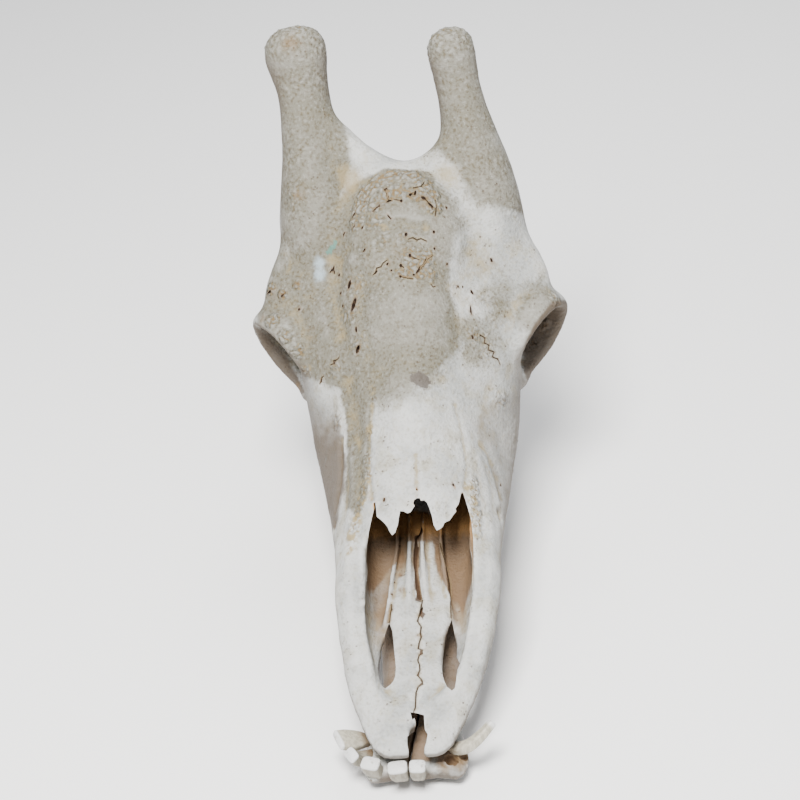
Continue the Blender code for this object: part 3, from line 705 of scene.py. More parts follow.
PITS = [
    (333.6, 268.6, 4.4, 1.3, 4, 18), (331.2, 271, 4.0, 1.0, 3, 32), (334.6, 272, 3.2, 1.0, 3, -8),
    (349.7, 284.5, 7.2, 2.7, 5, 12), (353.9, 304.5, 11.5, 3.4, 6, 8),
    (356.4, 329.4, 5.2, 1.7, 4, -14),
    (358, 349, 7.0, 2.8, 5, 18), (339.4, 274.9, 2.4, 1.8, 2.5, 0), (341.1, 293, 2.6, 2.0, 3, 20),
    (342.8, 305.8, 2.2, 1.8, 2.5, 0), (299.4, 309.4, 2.0, 1.8, 2, 0),
    (256.4, 323.1, 1.7, 1.4, 2, 0),
    (376.4, 208, 8.6, 1.5, 3, 42), (353.9, 215, 5.0, 1.4, 2.5, 18), (353.9, 226.6, 4.6, 1.7, 3, 16),
    (362.5, 227.5, 2.6, 1.8, 2, 0), (344, 234.2, 4.0, 1.2, 2.5, 22), (389.3, 217, 5.0, 1.2, 2, -40),
    (406, 234.2, 3.4, 2.2, 3, 10), (433.8, 231.8, 2.6, 2.0, 2.5, 0), (410.4, 194, 2.8, 2.2, 3, 0),
    (415.2, 192.8, 4.2, 1.8, 3, 8), (423.3, 197.6, 4.4, 2.6, 3, -50),
    (430.6, 205, 6.4, 1.7, 3, -45),
    (446.3, 207.4, 2.2, 1.7, 2.5, 0), (386, 188.8, 2.8, 2.2, 2.5, 60),
    (388.9, 200.7, 5.2, 1.5, 2.5, 75),
    (401.3, 200.7, 3.0, 2.0, 2.5, 0), (364.4, 250, 3.2, 1.4, 2, 30), (376, 272, 3.6, 1.5, 2.5, 40),
    (409.9, 255.3, 3.2, 2.2, 2.5, 0), (400.8, 265.4, 2.8, 2.2, 2.5, 0),
    (387.5, 263.9, 2.4, 1.5, 2, 30),
    (418, 270.6, 4.8, 1.8, 2.5, 30), (400.3, 276.3, 2.6, 1.8, 2, 0), (413.8, 274.6, 1.8, 1.6, 2, 0),
    (434.3, 248.6, 1.9, 1.4, 2, 0), (471.6, 292.1, 4.2, 1.9, 4, -24),
    (462.5, 286.8, 2.0, 1.2, 2.5, 0),
    (458, 286.4, 1.7, 1.2, 2, 0), (491, 260, 3.6, 1.6, 3, -20), (470.6, 310, 7.2, 1.3, 3, 4),
    (472.4, 337, 3.6, 1.9, 3, -10), (447, 264, 1.6, 1.2, 2, 0), (391.6, 270.2, 1.6, 1.4, 2, 0),
    (335.2, 362, 4.4, 1.1, 2, 48), (321.6, 380.5, 3.0, 1.1, 2, 30), (453.2, 484.6, 2.2, 1.4, 2, 15),
    (416.8, 489.6, 1.6, 1.2, 2, 0), (384.3, 499.6, 3.4, 1.8, 1.6, 0),
    (394.8, 582.4, 1.2, 1.1, 2, 0),
    (392.4, 594.5, 1.2, 1.1, 2, 0), (391.6, 604.8, 1.4, 1.1, 2, 0), (500.4, 485.4, 2.0, 1.3, 2, 10),
    (270.4, 291.6, 5.2, 2.0, 2.5, 50), (283, 295, 3.8, 1.6, 2, 40), (262, 268, 7.0, 2.4, 3, 25)]


def pit(skin, u, v, long, wide, deep, turn):
    """A small oval hollow, its mouth flat on the bone that the camera sees at a pixel."""
    place, facing = met(skin, u, v)
    angle = math.radians(turn)
    along = UP * math.cos(angle) + RIGHT * math.sin(angle)
    along = (along - facing * along.dot(facing)).normalized()
    across = facing.cross(along)
    shape = bmesh.new()
    bmesh.ops.create_icosphere(shape, subdivisions=2, radius=1)
    for vert in shape.verts:
        x, y, z = vert.co
        ragged = 1 + 0.22 * noise.noise(Vector((u, v, 0)) + vert.co * 1.4)
        vert.co = (place + along * x * long / 2 * ragged + across * y * wide / 2 * ragged
                   + facing * z * deep)
    return placed("pit", shape), (place, along, across, facing, long, wide, deep)


skin = skin_of(cranium)
pits = [pit(skin, *one) for one in PITS if met(skin, one[0], one[1])[0]]
cut(cranium, [joined("pits", [cutter for cutter, _ in pits])])


# The cranium: its open joints and cracks
# The plates of the skull meet in thin, winding joints, and weather has cracked the bone
# between its pits. Each is a narrow wedge cut along a line of pixels.

CRACK_HALF = 0.42
CRACK_DEPTH = 2.0
CRACK_ABOVE = 0.8
JOINTS = [
    [(422.7, 600), (419.1, 616.4), (417.3, 621.2), (421.5, 626.7), (420.3, 633.3), (421.5, 637),
     (419.1, 643), (418.2, 648.5), (422.1, 649.7), (422.7, 653.3), (419.1, 655.2), (417.9, 660),
     (419.7, 664.8), (419.9, 670.3), (417.5, 675.2), (422.1, 680), (422.7, 684.2), (418.2, 686.7),
     (416.1, 692.7), (415.8, 699.4), (415.5, 707.3), (413.6, 712.7)],
    [(439.7, 543), (443.9, 557.6), (449.4, 583), (450.6, 601.2), (451.2, 618.2)],
    [(391.6, 604.8), (389.4, 622.4)],
    [(480, 335), (485, 338), (484, 343), (489, 345), (488, 350), (494, 352), (492, 357), (498, 359),
     (500, 365)],
    [(330.9, 365), (334, 363.5), (333.5, 360.5), (337, 360), (339.4, 357)],
    [(320, 384), (322, 381), (321.5, 378), (324, 376)],
    [(373, 275), (376, 272), (376.5, 268), (381, 267), (383, 263), (387.4, 260)],
    [(408.5, 239), (413, 237.5), (417, 240), (421, 238.5), (426.6, 241)],
    [(431, 284), (433, 287), (435.5, 286)],
    [(424.3, 181.6), (422, 186), (413.3, 187.8)],
    [(415.2, 192.6), (410.4, 194)],
    [(423.3, 197.4), (427, 201), (430.5, 204.5), (432.4, 209.3)],
    [(435.3, 199.8), (436.5, 207), (435.3, 215.6)],
    [(386, 188.8), (387, 194), (388.9, 200.7)],
    [(394, 199), (401.3, 200.7)],
    [(409.9, 255.3), (414, 258), (419, 259.6)],
    [(432.9, 254.8), (427, 259), (423.3, 264.8), (418, 270.6)],
    [(400.8, 265.3), (404, 267.5)],
    [(400.3, 276.3), (407, 277.5), (413.3, 278.7)],
]


def crack(skin, line):
    """A thin wedge along a line of pixels, narrowing to nothing at its ends."""
    track = traced(skin, line, 2.5)
    rings = []
    for k, (place, facing) in enumerate(track):
        ahead = track[min(k + 1, len(track) - 1)][0] - track[max(k - 1, 0)][0]
        across = facing.cross(ahead).normalized()
        wide = CRACK_HALF * (0.35 if k in (0, len(track) - 1) else 1 + 0.4 * noise.noise(place))
        rings.append([place + across * wide + facing * CRACK_ABOVE,
                      place - across * wide + facing * CRACK_ABOVE, place - facing * CRACK_DEPTH])
    return bridged("crack", rings)


cut(cranium, [joined("cracks", [crack(skin, line) for line in JOINTS])])


# The finish of bone
# Old dry bone is cool grey white where it is worn and lit, cream in its pores and
# joints, and brown in its hollows, where grease and earth stayed; that brown is also
# painted shade, as are the darkened turned-under faces, eye sockets, snout flank,
# nose floor shadows, slit and pits.

class Amount:
    """A number that varies over a surface, for writing a finish as sums."""

    def __init__(self, finish, socket):
        self.finish = finish
        self.socket = socket

    def sum(self, operation, *others):
        values = dict(enumerate(others))
        return self.finish.node("ShaderNodeMath", {"operation": operation}, values)

    def __add__(self, other):
        return self.sum("ADD", self, other)

    def __radd__(self, other):
        return self.sum("ADD", other, self)

    def __sub__(self, other):
        return self.sum("SUBTRACT", self, other)

    def __rsub__(self, other):
        return self.sum("SUBTRACT", other, self)

    def __mul__(self, other):
        return self.sum("MULTIPLY", self, other)


class Finish:
    """A material whose nodes are added one by one, each by its kind."""

    def __init__(self, name):
        self.material = bpy.data.materials.new(name)
        self.material.use_nodes = True
        self.tree = self.material.node_tree
        self.shader = self.tree.nodes["Principled BSDF"]

    def node(self, kind, settings=None, values=None, output=0):
        """A node of a kind, its settings made first, then its sockets' values or links."""
        made = self.tree.nodes.new(kind)
        for setting, value in (settings or {}).items():
            setattr(made, setting, value)
        for socket, value in (values or {}).items():
            self.put(made.inputs[socket], value)
        return Amount(self, made.outputs[output])

    def put(self, socket, value):
        """Sets a socket to a number or colour, or links it."""
        if isinstance(value, Amount):
            self.tree.links.new(value.socket, socket)
        elif isinstance(value, tuple) and len(value) == 3 and socket.type == "RGBA":
            socket.default_value = (*value, 1)
        else:
            socket.default_value = value

    def between(self, low, high, amount):
        """0 below low, 1 above high, smooth between."""
        return self.node("ShaderNodeMapRange", {"interpolation_type": "SMOOTHSTEP"},
                         {"Value": amount, "From Min": low, "From Max": high})

    def blend(self, factor, one, two, how="MIX"):
        """One colour going over to another."""
        return self.node("ShaderNodeMix", {"data_type": "RGBA", "blend_type": how},
                         {0: factor, 6: one, 7: two}, output=2)

    def mottle(self, place, size, detail):
        """Cloudy variation from 0 to 1, its size in millimetres."""
        values = {"Vector": place, "Scale": 1 / (size * MM), "Detail": float(detail)}
        return self.node("ShaderNodeTexNoise", values=values)

    def measured(self, name):
        """A number kept on the mesh."""
        return self.node("ShaderNodeAttribute", {"attribute_name": name}, output="Fac")

    def drawn_out(self, place, scale):
        """Places scaled along each axis, for a grain that runs one way."""
        return self.node("ShaderNodeVectorMath", {"operation": "MULTIPLY"}, {0: place, 1: scale},
                         output="Vector")

    def raised(self, height, strength):
        """Low relief, a millimetre for a height of 1."""
        relief = self.node("ShaderNodeBump", output="Normal",
                           values={"Height": height, "Strength": strength, "Distance": MM})
        self.put(self.shader.inputs["Normal"], relief)


WORN_WHITE = (0.45, 0.452, 0.437)
BRIGHT_WHITE = (0.53, 0.53, 0.515)
COOL_GREY = (0.315, 0.322, 0.314)
CREAM = (0.35, 0.32, 0.24)
# Dull cream, also used for the painted shade on the snout's left flank.
DULL_CREAM_AND_SHADE = (0.135, 0.124, 0.090)
GRIT = (0.092, 0.072, 0.041)
YELLOW_CREAM = (0.27, 0.21, 0.105)
OCHRE = (0.15, 0.094, 0.040)
# Dark brown for the joints, and painted shade in the slit of the nose floor.
VEIN_AND_SHADE_BROWN = (0.055, 0.028, 0.014)
# Brown of earth, and of painted shade in hollows, in the nose and on the jaw seen through the
# clefts.
EARTH_AND_SHADE_BROWN = (0.150, 0.092, 0.049)
# Painted warm shade under the nose's broken fringe.
AMBER_SHADE = (0.50, 0.27, 0.10)
# Painted shade on turned-under faces, cheek sides and eye sockets.
SIDE_SHADE_BROWN = (0.088, 0.064, 0.043)
# Painted shade inside the pits.
PIT_SHADE_BROWN = (0.030, 0.016, 0.010)
PORE_BROWN = (0.10, 0.07, 0.045)
COPPER_GREEN = (0.09, 0.19, 0.155)
PALE_BLUE = (0.37, 0.46, 0.52)
SMUDGE_GREY = (0.080, 0.066, 0.055)

bone = Finish("bone")
place = bone.node("ShaderNodeTexCoord", output="Object")
lengthwise = bone.drawn_out(place, (1, 0.14, 1))
broad = bone.mottle(place, 48, 4)
cloud = bone.mottle(place, 17, 5)
patch = bone.mottle(place, 5.5, 4)
speck = bone.mottle(place, 1.6, 3)
fibre = bone.mottle(lengthwise, 2.4, 4)
pore = bone.node("ShaderNodeTexVoronoi", {"feature": "F1"}, {"Vector": place, "Scale": 300.0},
                 output="Distance")
recess = bone.measured("recess")
crease = bone.measured("crease")
under = bone.measured("under")
rough = bone.measured("rough")
grit = bone.mottle(place, 2.6, 6)
# A dull cream tone; its outlines and one spot on the left flank of the snout are painted shade.
dull = bone.between(0.0, 0.5,
                    bone.measured("dull") + bone.measured("shade") + (cloud - 0.5) * 0.7)
pores = ((1 - bone.between(0.16, 0.34, pore)) * bone.between(0.53, 0.60, patch)
         * bone.between(0.46, 0.58, cloud))
hollow = bone.between(0.0, 0.5, crease + (patch - 0.5) * 0.5)
proud = bone.between(0.0, 0.5, 0 - crease)
deep = bone.between(0.22, 0.60, recess + (cloud - 0.5) * 0.15)
joint = bone.between(3.25, 3.6, bone.measured("joint"))
by_joint = bone.between(1.6, 3.4, bone.measured("joint") + (speck - 0.5) * 2.4)
pit_shade = bone.between(0.70, 1.05, bone.measured("pit") + (speck - 0.5) * 0.3)
round_pit = bone.between(0.0, 0.7, bone.measured("pit"))

colour = bone.blend(bone.between(0.36, 0.60, broad), COOL_GREY, WORN_WHITE)
colour = bone.blend(bone.between(0.50, 0.66, cloud) * 0.5, colour, CREAM)
colour = bone.blend(bone.between(0.52, 0.68, fibre) * 0.4, colour, CREAM)
colour = bone.blend(dull * 0.92, colour, DULL_CREAM_AND_SHADE)
colour = bone.blend(bone.between(0.50, 0.66, grit) * (dull * 0.55 + 0.25), colour, GRIT)
colour = bone.blend(bone.between(0.56, 0.70, 1 - grit) * (0.45 - dull * 0.25), colour, WORN_WHITE)
colour = bone.blend(proud * (0.5 - dull * 0.28), colour, BRIGHT_WHITE)
colour = bone.blend(hollow * 0.7, colour, YELLOW_CREAM)
colour = bone.blend(hollow * bone.between(0.1, 0.7, rough) * 0.85, colour, OCHRE)
grainy = bone.between(0.1, 0.6, bone.measured("grainy")) * bone.between(0.42, 0.58, patch)
colour = bone.blend(grainy * 0.9, colour, YELLOW_CREAM)
# Painted shade: faces turned under are darkened brown.
colour = bone.blend(bone.between(-0.1, 0.4, under) * 0.7, colour, SIDE_SHADE_BROWN)
# Painted shade: the cheek sides and the insides of the eye sockets, by outlines.
colour = bone.blend(bone.between(0.1, 0.95, bone.measured("side") + (cloud - 0.5) * 0.45) * 0.9,
                    colour, SIDE_SHADE_BROWN)
# Painted shadow on the nose floor, where the nasal fringe and the rails shade it; the brown it
# joins also paints earth stains and the shaded jaw seen through the clefts.
nose_shadow_mask = bone.measured("nose") * bone.between(0.08, 0.25, recess)
earth_and_shade_mask = bone.between(0.1, 0.8, bone.measured("earth") + nose_shadow_mask + (cloud - 0.5) * 0.4)
colour = bone.blend(earth_and_shade_mask * 0.9, colour, EARTH_AND_SHADE_BROWN)
colour = bone.blend(pores * 0.8, colour, PORE_BROWN)
for name, low, high, strength, tint in (
        ("ochre", 0.15, 0.75, 0.75, OCHRE), ("pale", 0.1, 0.8, 0.7, PALE_BLUE),
        ("copper", 0.15, 0.5, 0.9, COPPER_GREEN)):
    shown = bone.between(low, high, bone.measured(name) + (patch - 0.5) * 0.9)
    colour = bone.blend(shown * strength, colour, tint)
smudge = bone.between(0.22, 0.42, bone.measured("smudge") + (speck - 0.5) * 0.6)
colour = bone.blend(smudge * 0.9, colour, SMUDGE_GREY)
# Painted shade with earth: the more closed in by bone a place is, the browner.
colour = bone.blend(deep * 0.9, colour, EARTH_AND_SHADE_BROWN)
# Painted warm shade under the broken fringe of the nose.
colour = bone.blend(bone.measured("amber") * bone.between(0.08, 0.25, recess) * 0.9, colour, AMBER_SHADE)
# Painted shade in the slit of the nose floor.
colour = bone.blend(bone.between(0.12, 0.4, bone.measured("slit")) * 0.9, colour, VEIN_AND_SHADE_BROWN)
colour = bone.blend(by_joint * 0.35, colour, YELLOW_CREAM)
colour = bone.blend(joint * 0.9, colour, VEIN_AND_SHADE_BROWN)
colour = bone.blend(round_pit * 0.45, colour, OCHRE)
# Painted shade deep inside the pits.
colour = bone.blend(pit_shade * 0.97, colour, PIT_SHADE_BROWN)
bone.put(bone.shader.inputs["Base Color"], colour)
bone.shader.inputs["Roughness"].default_value = 0.68
bone.shader.inputs["Specular IOR Level"].default_value = 0.3

height = (grit * 0.9 + patch * 0.9 + fibre * 0.5 - pores * 0.5 - joint * 0.8
          + bone.between(0.05, 0.6, rough) * bone.mottle(place, 3.4, 4) * 3.0)
bone.raised(height, 1.0)


# The cranium: its place and marks
# Grease, earth and a touch of copper marked the bone where it lay. The marks are set by
# pixel, as spots or outlines, and kept on the skin for its finish; some of them, and the
# measures of how closed in and turned under each place is, carry painted shade. The bone
# is then leaned onto the table and fitted to its true size.

JOINT_REACH = 4.0
CRANIUM_REACH = 60                 # how far bone shades bone, in millimetres
CREASE_ROUNDS = 4
UNDER_FROM = 0.35                  # of an upward facing of 1
ROUGH_MOST = 1.5                   # millimetres of height
SHARP_EDGE = math.radians(55)
# Outlines in pixels. The cheek sides and eye sockets, the shadowed nose floor, the warm shade under
# the nasal fringe, the slit and the left flank of the snout are painted shade; the broad dull
# patches over the brow and horns and the smudge are the bone's own colour.
TINTED = {
    "side": [
        *[(0.25 + 0.15 * k, [(303, 392 + 11 * k), (337 + 1.2 * k, 392 + 11 * k), (344.4, 449),
                             (346, 467),
                             (344.4, 486), (340, 510), (337, 530), (318, 525)]) for k in range(6)],
        (0.45, [(472, 427), (484, 452), (491.4, 472), (497.5, 495), (499, 521), (512, 525),
                (532, 440),
                (528, 390), (505, 392), (484, 405)]),
        (1.0, [(252, 322), (262, 331), (284, 350), (306, 392), (296, 398), (270, 362)]),
        (1.0, [(571, 298), (552, 302), (535, 322), (522, 350), (523, 372), (528, 382), (545, 382),
               (562, 345)])],
    "nose": [
        (1.0, [(364, 500), (398, 520), (404, 560), (397, 562), (372, 593), (362, 590)]),
        (1.0, [(396, 500), (442, 500), (437, 541), (402, 541)]),
        (1.0, [(434, 525), (476, 495), (478, 560), (463, 612), (452, 600), (436, 568)])],
    "amber": [(1.0, [(364, 488), (478, 485), (478, 532), (364, 538)])],
    "slit": [(1.0, SLIT), (1.0, SLIT_HOLE)],
    "shade": [
        (0.55, [(345, 380), (368, 380), (371, 440), (368, 490), (359, 520), (346, 505),
                (347, 440)]),
        (0.42, [(280, 232), (330, 215), (356, 182), (385, 168), (430, 172), (448, 205), (450, 290),
                (458, 345), (430, 372), (385, 388), (345, 388), (300, 375), (258, 325),
                (262, 285)]),
        (0.38, [(262, 25), (330, 25), (340, 105), (352, 160), (330, 215), (283, 232), (280, 190),
                (270, 90)]),
        (0.32, [(428, 25), (480, 25), (500, 120), (524, 215), (478, 195), (440, 150)])],
    "smudge": [
        (1.0, [(405, 381.5), (410, 380), (408, 376.5), (412, 374.5), (417, 374), (418.5, 370),
               (421.5, 371),
                (422, 374.5), (427, 376), (429.5, 381), (427, 386), (421, 385.5), (416, 382.5),
                (411, 383)])],
}
# Painted shade: the front of the chin below the incisors, and the jaw seen through the muzzle gap,
# the clefts and round the empty sockets.
JAW_TINTED = {
    "side": [
        (0.8, [(374, 771), (434, 770), (432, 790), (382, 790)]),
        (0.6, [(436, 768), (470, 764), (470, 776), (436, 784)])],
    "earth": [
        (1.0, [(436, 748), (466, 742), (468, 764), (445, 769), (437, 765)]),
        (0.8, [(376, 742), (408, 748), (408, 759), (384, 759)]),
        (1.0, [(403, 705), (432, 705), (432, 762), (403, 762)]),
        (0.7, [(374, 620), (400, 620), (400, 700), (374, 700)]),
        (0.7, [(438, 618), (466, 618), (466, 700), (438, 700)])],
}
# Spots in pixels, stains and dull tone; the dull spot on the left flank of the snout is painted
# shade.
STAINS = {
    "ochre": [
        (311.5, 334, 10, 0.45), (297, 284, 11, 0.4), (290, 42, 18, 0.6), (300, 195, 16, 0.5),
        (299, 388, 10, 0.9), (272, 291, 12, 0.5), (284, 294, 9, 0.45), (262, 320, 14, 0.4),
        (420.3, 636, 5, 1),
        (420.3, 653, 5, 1), (419, 615, 6, 0.6), (418, 672, 6, 0.6), (400, 250, 20, 0.35),
        (424, 200, 14, 0.6), (545, 330, 16, 0.4)],
    "dull": [
        (400, 225, 62, 1), (365, 215, 45, 0.9), (435, 215, 42, 0.8), (320, 300, 50, 1),
        (290, 320, 45, 1),
        (345, 345, 45, 1), (345, 275, 45, 0.8), (420, 330, 50, 0.9), (390, 370, 42, 0.8),
        (300, 120, 50, 0.9),
        (300, 60, 45, 0.9), (300, 180, 52, 1), (455, 120, 45, 0.8), (455, 60, 40, 0.8),
        (490, 180, 45, 0.5),
        (500, 300, 40, 0.4), (545, 310, 40, 0.8), (480, 340, 32, 0.6), (360, 400, 30, 0.7)],
    "copper": [(330, 252.5, 3.4, 1), (333, 247, 4, 1), (335.8, 242.5, 3.2, 1)],
    "pale": [(320, 264, 9, 1), (320, 275, 9, 1)],
    "grainy": [
        (372, 390, 8, 0.7), (370, 430, 8, 0.8), (366, 480, 8, 1), (362, 500, 9, 1),
        (357, 520, 9, 1),
        (352, 535, 9, 1), (349, 550, 8, 0.8), (470, 487, 9, 1), (473, 500, 9, 1), (475, 515, 9, 1),
        (474, 531, 9, 1), (487, 470, 8, 0.6)],
    "earth": [(398, 545, 6, 1), (400, 560, 6, 1), (401, 575, 5, 1), (402, 590, 5, 0.9)],
}


def neighbour_mean(obj, values):
    """Each vertex's value averaged over the vertices it shares an edge with."""
    edges = numpy.zeros(len(obj.data.edges) * 2, dtype=int)
    obj.data.edges.foreach_get("vertices", edges)
    a, b = edges.reshape(-1, 2).T
    count = len(obj.data.vertices)
    shared = numpy.bincount(a, minlength=count) + numpy.bincount(b, minlength=count)
    columns = []
    for column in values.reshape(count, -1).T:
        columns.append(numpy.bincount(a, column[b], count) + numpy.bincount(b, column[a], count))
    return (numpy.array(columns) / numpy.maximum(shared, 1)).T.reshape(values.shape)


def kept(obj, name, values):
    """Keeps a number for each vertex on the mesh."""
    layer = obj.data.attributes.new(name, "FLOAT", "POINT")
    layer.data.foreach_set("value", numpy.clip(values, -1e4, 1e4).astype(numpy.float32))


def dome(count):
    """Directions spread evenly over the half sphere round +Z."""
    ways = []
    for k in range(count):
        z = 1 - (k + 0.5) / count
        turn = k * math.pi * (3 - math.sqrt(5))
        flat = math.sqrt(1 - z * z)
        ways.append(Vector((flat * math.cos(turn), flat * math.sin(turn), z)))
    return ways


def closed_in(obj, reach, rays=12):
    """How far each place of a surface is closed in by bone around it, from 0 to 1."""
    skin = skin_of(obj)
    ways = dome(rays)
    found = numpy.zeros(len(obj.data.vertices))
    for k, (co, normal) in enumerate(zip(coordinates(obj), coordinates(obj, normals=True))):
        turn = Vector((0, 0, 1)).rotation_difference(Vector(normal))
        start = Vector(co) + Vector(normal) * 0.5
        closed = 0.0
        for way in ways:
            far = skin.ray_cast(start, turn @ way, reach)[3]
            if far is not None:
                closed += 1 - far / reach
        found[k] = closed / rays
    for _ in range(3):
        found = 0.4 * found + 0.6 * neighbour_mean(obj, found)
    return found


def creased(obj, rounds):
    """How hollow the surface is at each place, in millimetres."""
    places = coordinates(obj)
    smooth = places
    for _ in range(rounds):
        smooth = neighbour_mean(obj, smooth)
    return ((smooth - places) * coordinates(obj, normals=True)).sum(axis=1)


def shade_and_dirt_kept(obj, reach):
    """Keeps how closed in, how hollow and how far turned under each place of a bone is,
    for the painted shade and dirt of its finish.
    """
    kept(obj, "recess", closed_in(obj, reach))
    kept(obj, "crease", creased(obj, CREASE_ROUNDS))
    kept(obj, "under", UNDER_FROM - coordinates(obj, normals=True)[:, 2])


def stained(obj, name, spots):
    """Keeps how near each place is to the spots, each x, y, z, reach and strength."""
    places = coordinates(obj)
    near = numpy.zeros(len(places))
    for x, y, z, reach, strength in spots:
        away = numpy.linalg.norm(places - (x, y, z), axis=1) / reach
        near = numpy.maximum(near, (1 - away) * strength)
    kept(obj, name, near)


def tinted(obj, name, outlines, rounds=2):
    """Keeps how much of a tint each place that faces the camera has, by outlines in pixels;
    some tints are painted shade.
    """
    away = coordinates(obj) - numpy.array(EYE)
    depth = away @ numpy.array(-BACK) / FOCAL
    across = PICTURE / 2 + away @ numpy.array(RIGHT) / depth
    down = PICTURE / 2 - away @ numpy.array(UP) / depth
    shown = numpy.clip(3 * coordinates(obj, normals=True) @ numpy.array(BACK) + 0.3, 0, 1)
    found = numpy.zeros(len(down))
    for strength, line in outlines:
        inside = numpy.zeros(len(down), dtype=bool)
        for (u, v), (s, t) in zip(line, line[1:] + line[:1]):
            if v != t:
                inside ^= ((v > down) != (t > down)) & (across < u + (s - u) * (down - v) / (t - v))
        found = numpy.maximum(found, inside * strength * shown)
    for _ in range(rounds):
        found = 0.5 * found + 0.5 * neighbour_mean(obj, found)
    kept(obj, name, found)


def jointed(obj, skin, lines):
    """Keeps how near each place is to lines of pixels, in millimetres short of their reach."""
    track = [place for line in lines for place, _ in traced(skin, line, 0.5)]
    kept(obj, "joint", numpy.maximum(JOINT_REACH - distances(obj, track), 0))


def pitted(obj, hollows):
    """Keeps how far each place lies within a pit: 1 at its rim and 2 at its middle."""
    places = coordinates(obj)
    deepest = numpy.zeros(len(places))
    for place, along, across, facing, long, wide, deep in hollows:
        away = places - numpy.array(place)
        parts = [away @ numpy.array(way) / size
                 for way, size in ((along, long / 2), (across, wide / 2), (facing, deep))]
        deepest = numpy.maximum(deepest, 2 - numpy.linalg.norm(parts, axis=0))
    kept(obj, "pit", deepest)


def rested(obj):
    """Pitched onto the table, centred and scaled to metres."""
    obj.data.transform(REST)
    return obj


def fitted(obj, *nodes):
    """Brought to the exact box of the solids that it stands for."""
    low = [min(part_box(n)[0][k] for n in nodes) for k in range(3)]
    high = [max(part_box(n)[1][k] for n in nodes) for k in range(3)]
    places = coordinates(obj)
    own_low, own_high = places.min(axis=0), places.max(axis=0)
    places = (places - own_low) / (own_high - own_low) * (numpy.array(high) - low) + low
    obj.data.vertices.foreach_set("co", places.ravel())
    obj.data.update()
    return obj


def kept_as(obj, finish, slot, *nodes):
    """Given its finish, and put in place of the solids that it stands for."""
    obj.data.materials.clear()
    obj.data.materials.append(finish.material)
    obj.data.shade_smooth()
    obj.data.set_sharp_from_angle(angle=SHARP_EDGE)
    fitted(obj, *nodes)
    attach(obj, "root")
    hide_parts(*nodes)


shade_and_dirt_kept(cranium, CRANIUM_REACH)
stained(cranium, "rough", [(*spot[:4], min(spot[4], ROUGH_MOST)) for spot in rough_spots])
for name, seen in STAINS.items():
    stained(cranium, name, spots_on(skin, seen))
for name, outlines in TINTED.items():
    tinted(cranium, name, outlines)
jointed(cranium, skin, JOINTS)
pitted(cranium, [hollow for _, hollow in pits])
kept_as(rested(cranium), bone, "bone", "cranium")


# The lower jaw
# Two halves of bone that meet along the middle of the chin and stayed apart. Each has a
# long body, an upright plate that reaches up behind the cheek arch to the skull, and
# the joint's knob. It lies on its heel and its chin.

JAW_GAP = 0.8
JAW_GRAIN = 1.6
JAW_TRIANGLES = 60000
JAW_REACH = 40
JAW_TINT_ROUNDS = 8
RAMUS_HALF = 4.5
JAW_BODY = [
    (17, 0, -14.5, 18, 6.5), (19, 10, -13.5, 22, 8), (18, 26, -14, 21, 9),
    (14, 50, -20, 18.5, 12.5),
    (14, 85, -25, 17, 14.5), (19, 115, -27, 14, 15), (25, 150, -27, 11, 15.5),
    (31, 190, -27, 10.5, 16.5), (35, 235, -30, 11, 19.5), (39, 290, -33, 12.5, 23),
    (43, 340, -34, 12.5, 26), (46, 385, -36, 11, 30), (48, 410, -42, 6, 30)]
RAMUS = [
    (372, -52), (405, -70), (430, -86), (452, -96), (478, -92), (497, -70), (503, -35), (500, 10),
    (497, 50), (496, 64), (484, 66), (477, 58), (471, 74), (474, 100), (479, 116), (474, 120),
    (462, 108), (450, 82), (436, 40), (422, 4), (402, -12), (372, -14),
]
FRONT_EDGE = [(47, 395, -16, 6, 6), (55, 425, 10, 5, 7), (60, 442, 50, 4.5, 7), (64, 460, 95, 4, 6)]
LOWER_CROWN = (-0.1, -11.0)
LOWER_TEETH = [
    ("premolar_2", 240, 255, 37, 12), ("premolar_3", 256, 275, 39, 14),
    ("premolar_4", 276, 297, 41, 16),
    ("molar_1", 298, 324, 43, 17), ("molar_2", 325, 353, 44, 18), ("molar_3", 354, 390, 45, 17),
]
FRONT_TEETH = {
    "incisor_1_right": ((1, 0.05, 0), [(-9, 14, -14, 4, 4), (-10.5, 1.5, -12, 5.8, 5.5),
                                       (-12, -4, -4, 7, 5.5), (-12.5, -5, 4, 7.4, 5.5)]),
    "incisor_2_right": ((1, -0.35, 0), [(-25, 18, -14, 4, 4), (-29, 5.5, -12, 5.8, 5.5),
                                        (-32, 1, -4, 7, 5.5), (-33, 0, 4, 7.4, 5.5)]),
    "incisor_3_right": ((0.56, -0.83, 0), [(-33, 22, -12, 3.5, 4), (-38, 16, -8, 5, 4.5),
                                           (-44, 11, -3, 6, 4.5), (-47.5, 9, 4, 6.5, 4.5)]),
    "canine_right": ((0.45, -0.89, 0), [(-35, 34, -10, 4, 3.5), (-42, 32, -6, 8, 3.5),
                                        (-50, 28, -1, 10.5, 3.5), (-58, 24.5, 4, 9.5, 3)]),
    "incisor_1_left": ((1, -0.05, 0), [(1.5, 14, -14, 4, 4), (2, 1.5, -12, 5, 5.5),
                                       (2.3, -4, -4, 6, 5.5), (2.4, -5, 4, 6.2, 5.5)]),
    "canine_left": ((-0.35, -0.93, 0), [(22, 30, -9, 3.5, 3.5), (30, 17, -4, 4.5, 4),
                                        (40, 14, 1, 5, 4), (50, 19, 6, 5, 3.5),
                                        (59, 27, 11, 4, 3)]),
}
JAW_MIDDLE = [(-5.2, -50), (-5.2, 6), (-3, 26), (0, 52), (0, 600)]
CHIN_MIDDLE = [
    (4, -1, -14.5, 12, 6), (4, 12, -14.5, 13, 8), (5, 30, -16, 12, 9), (8, 56, -20, 8, 9)]
EMPTY_SOCKETS = [(27, 8, -6), (38, 13, -5)]
PIT_RADII = (6, 5, 9)
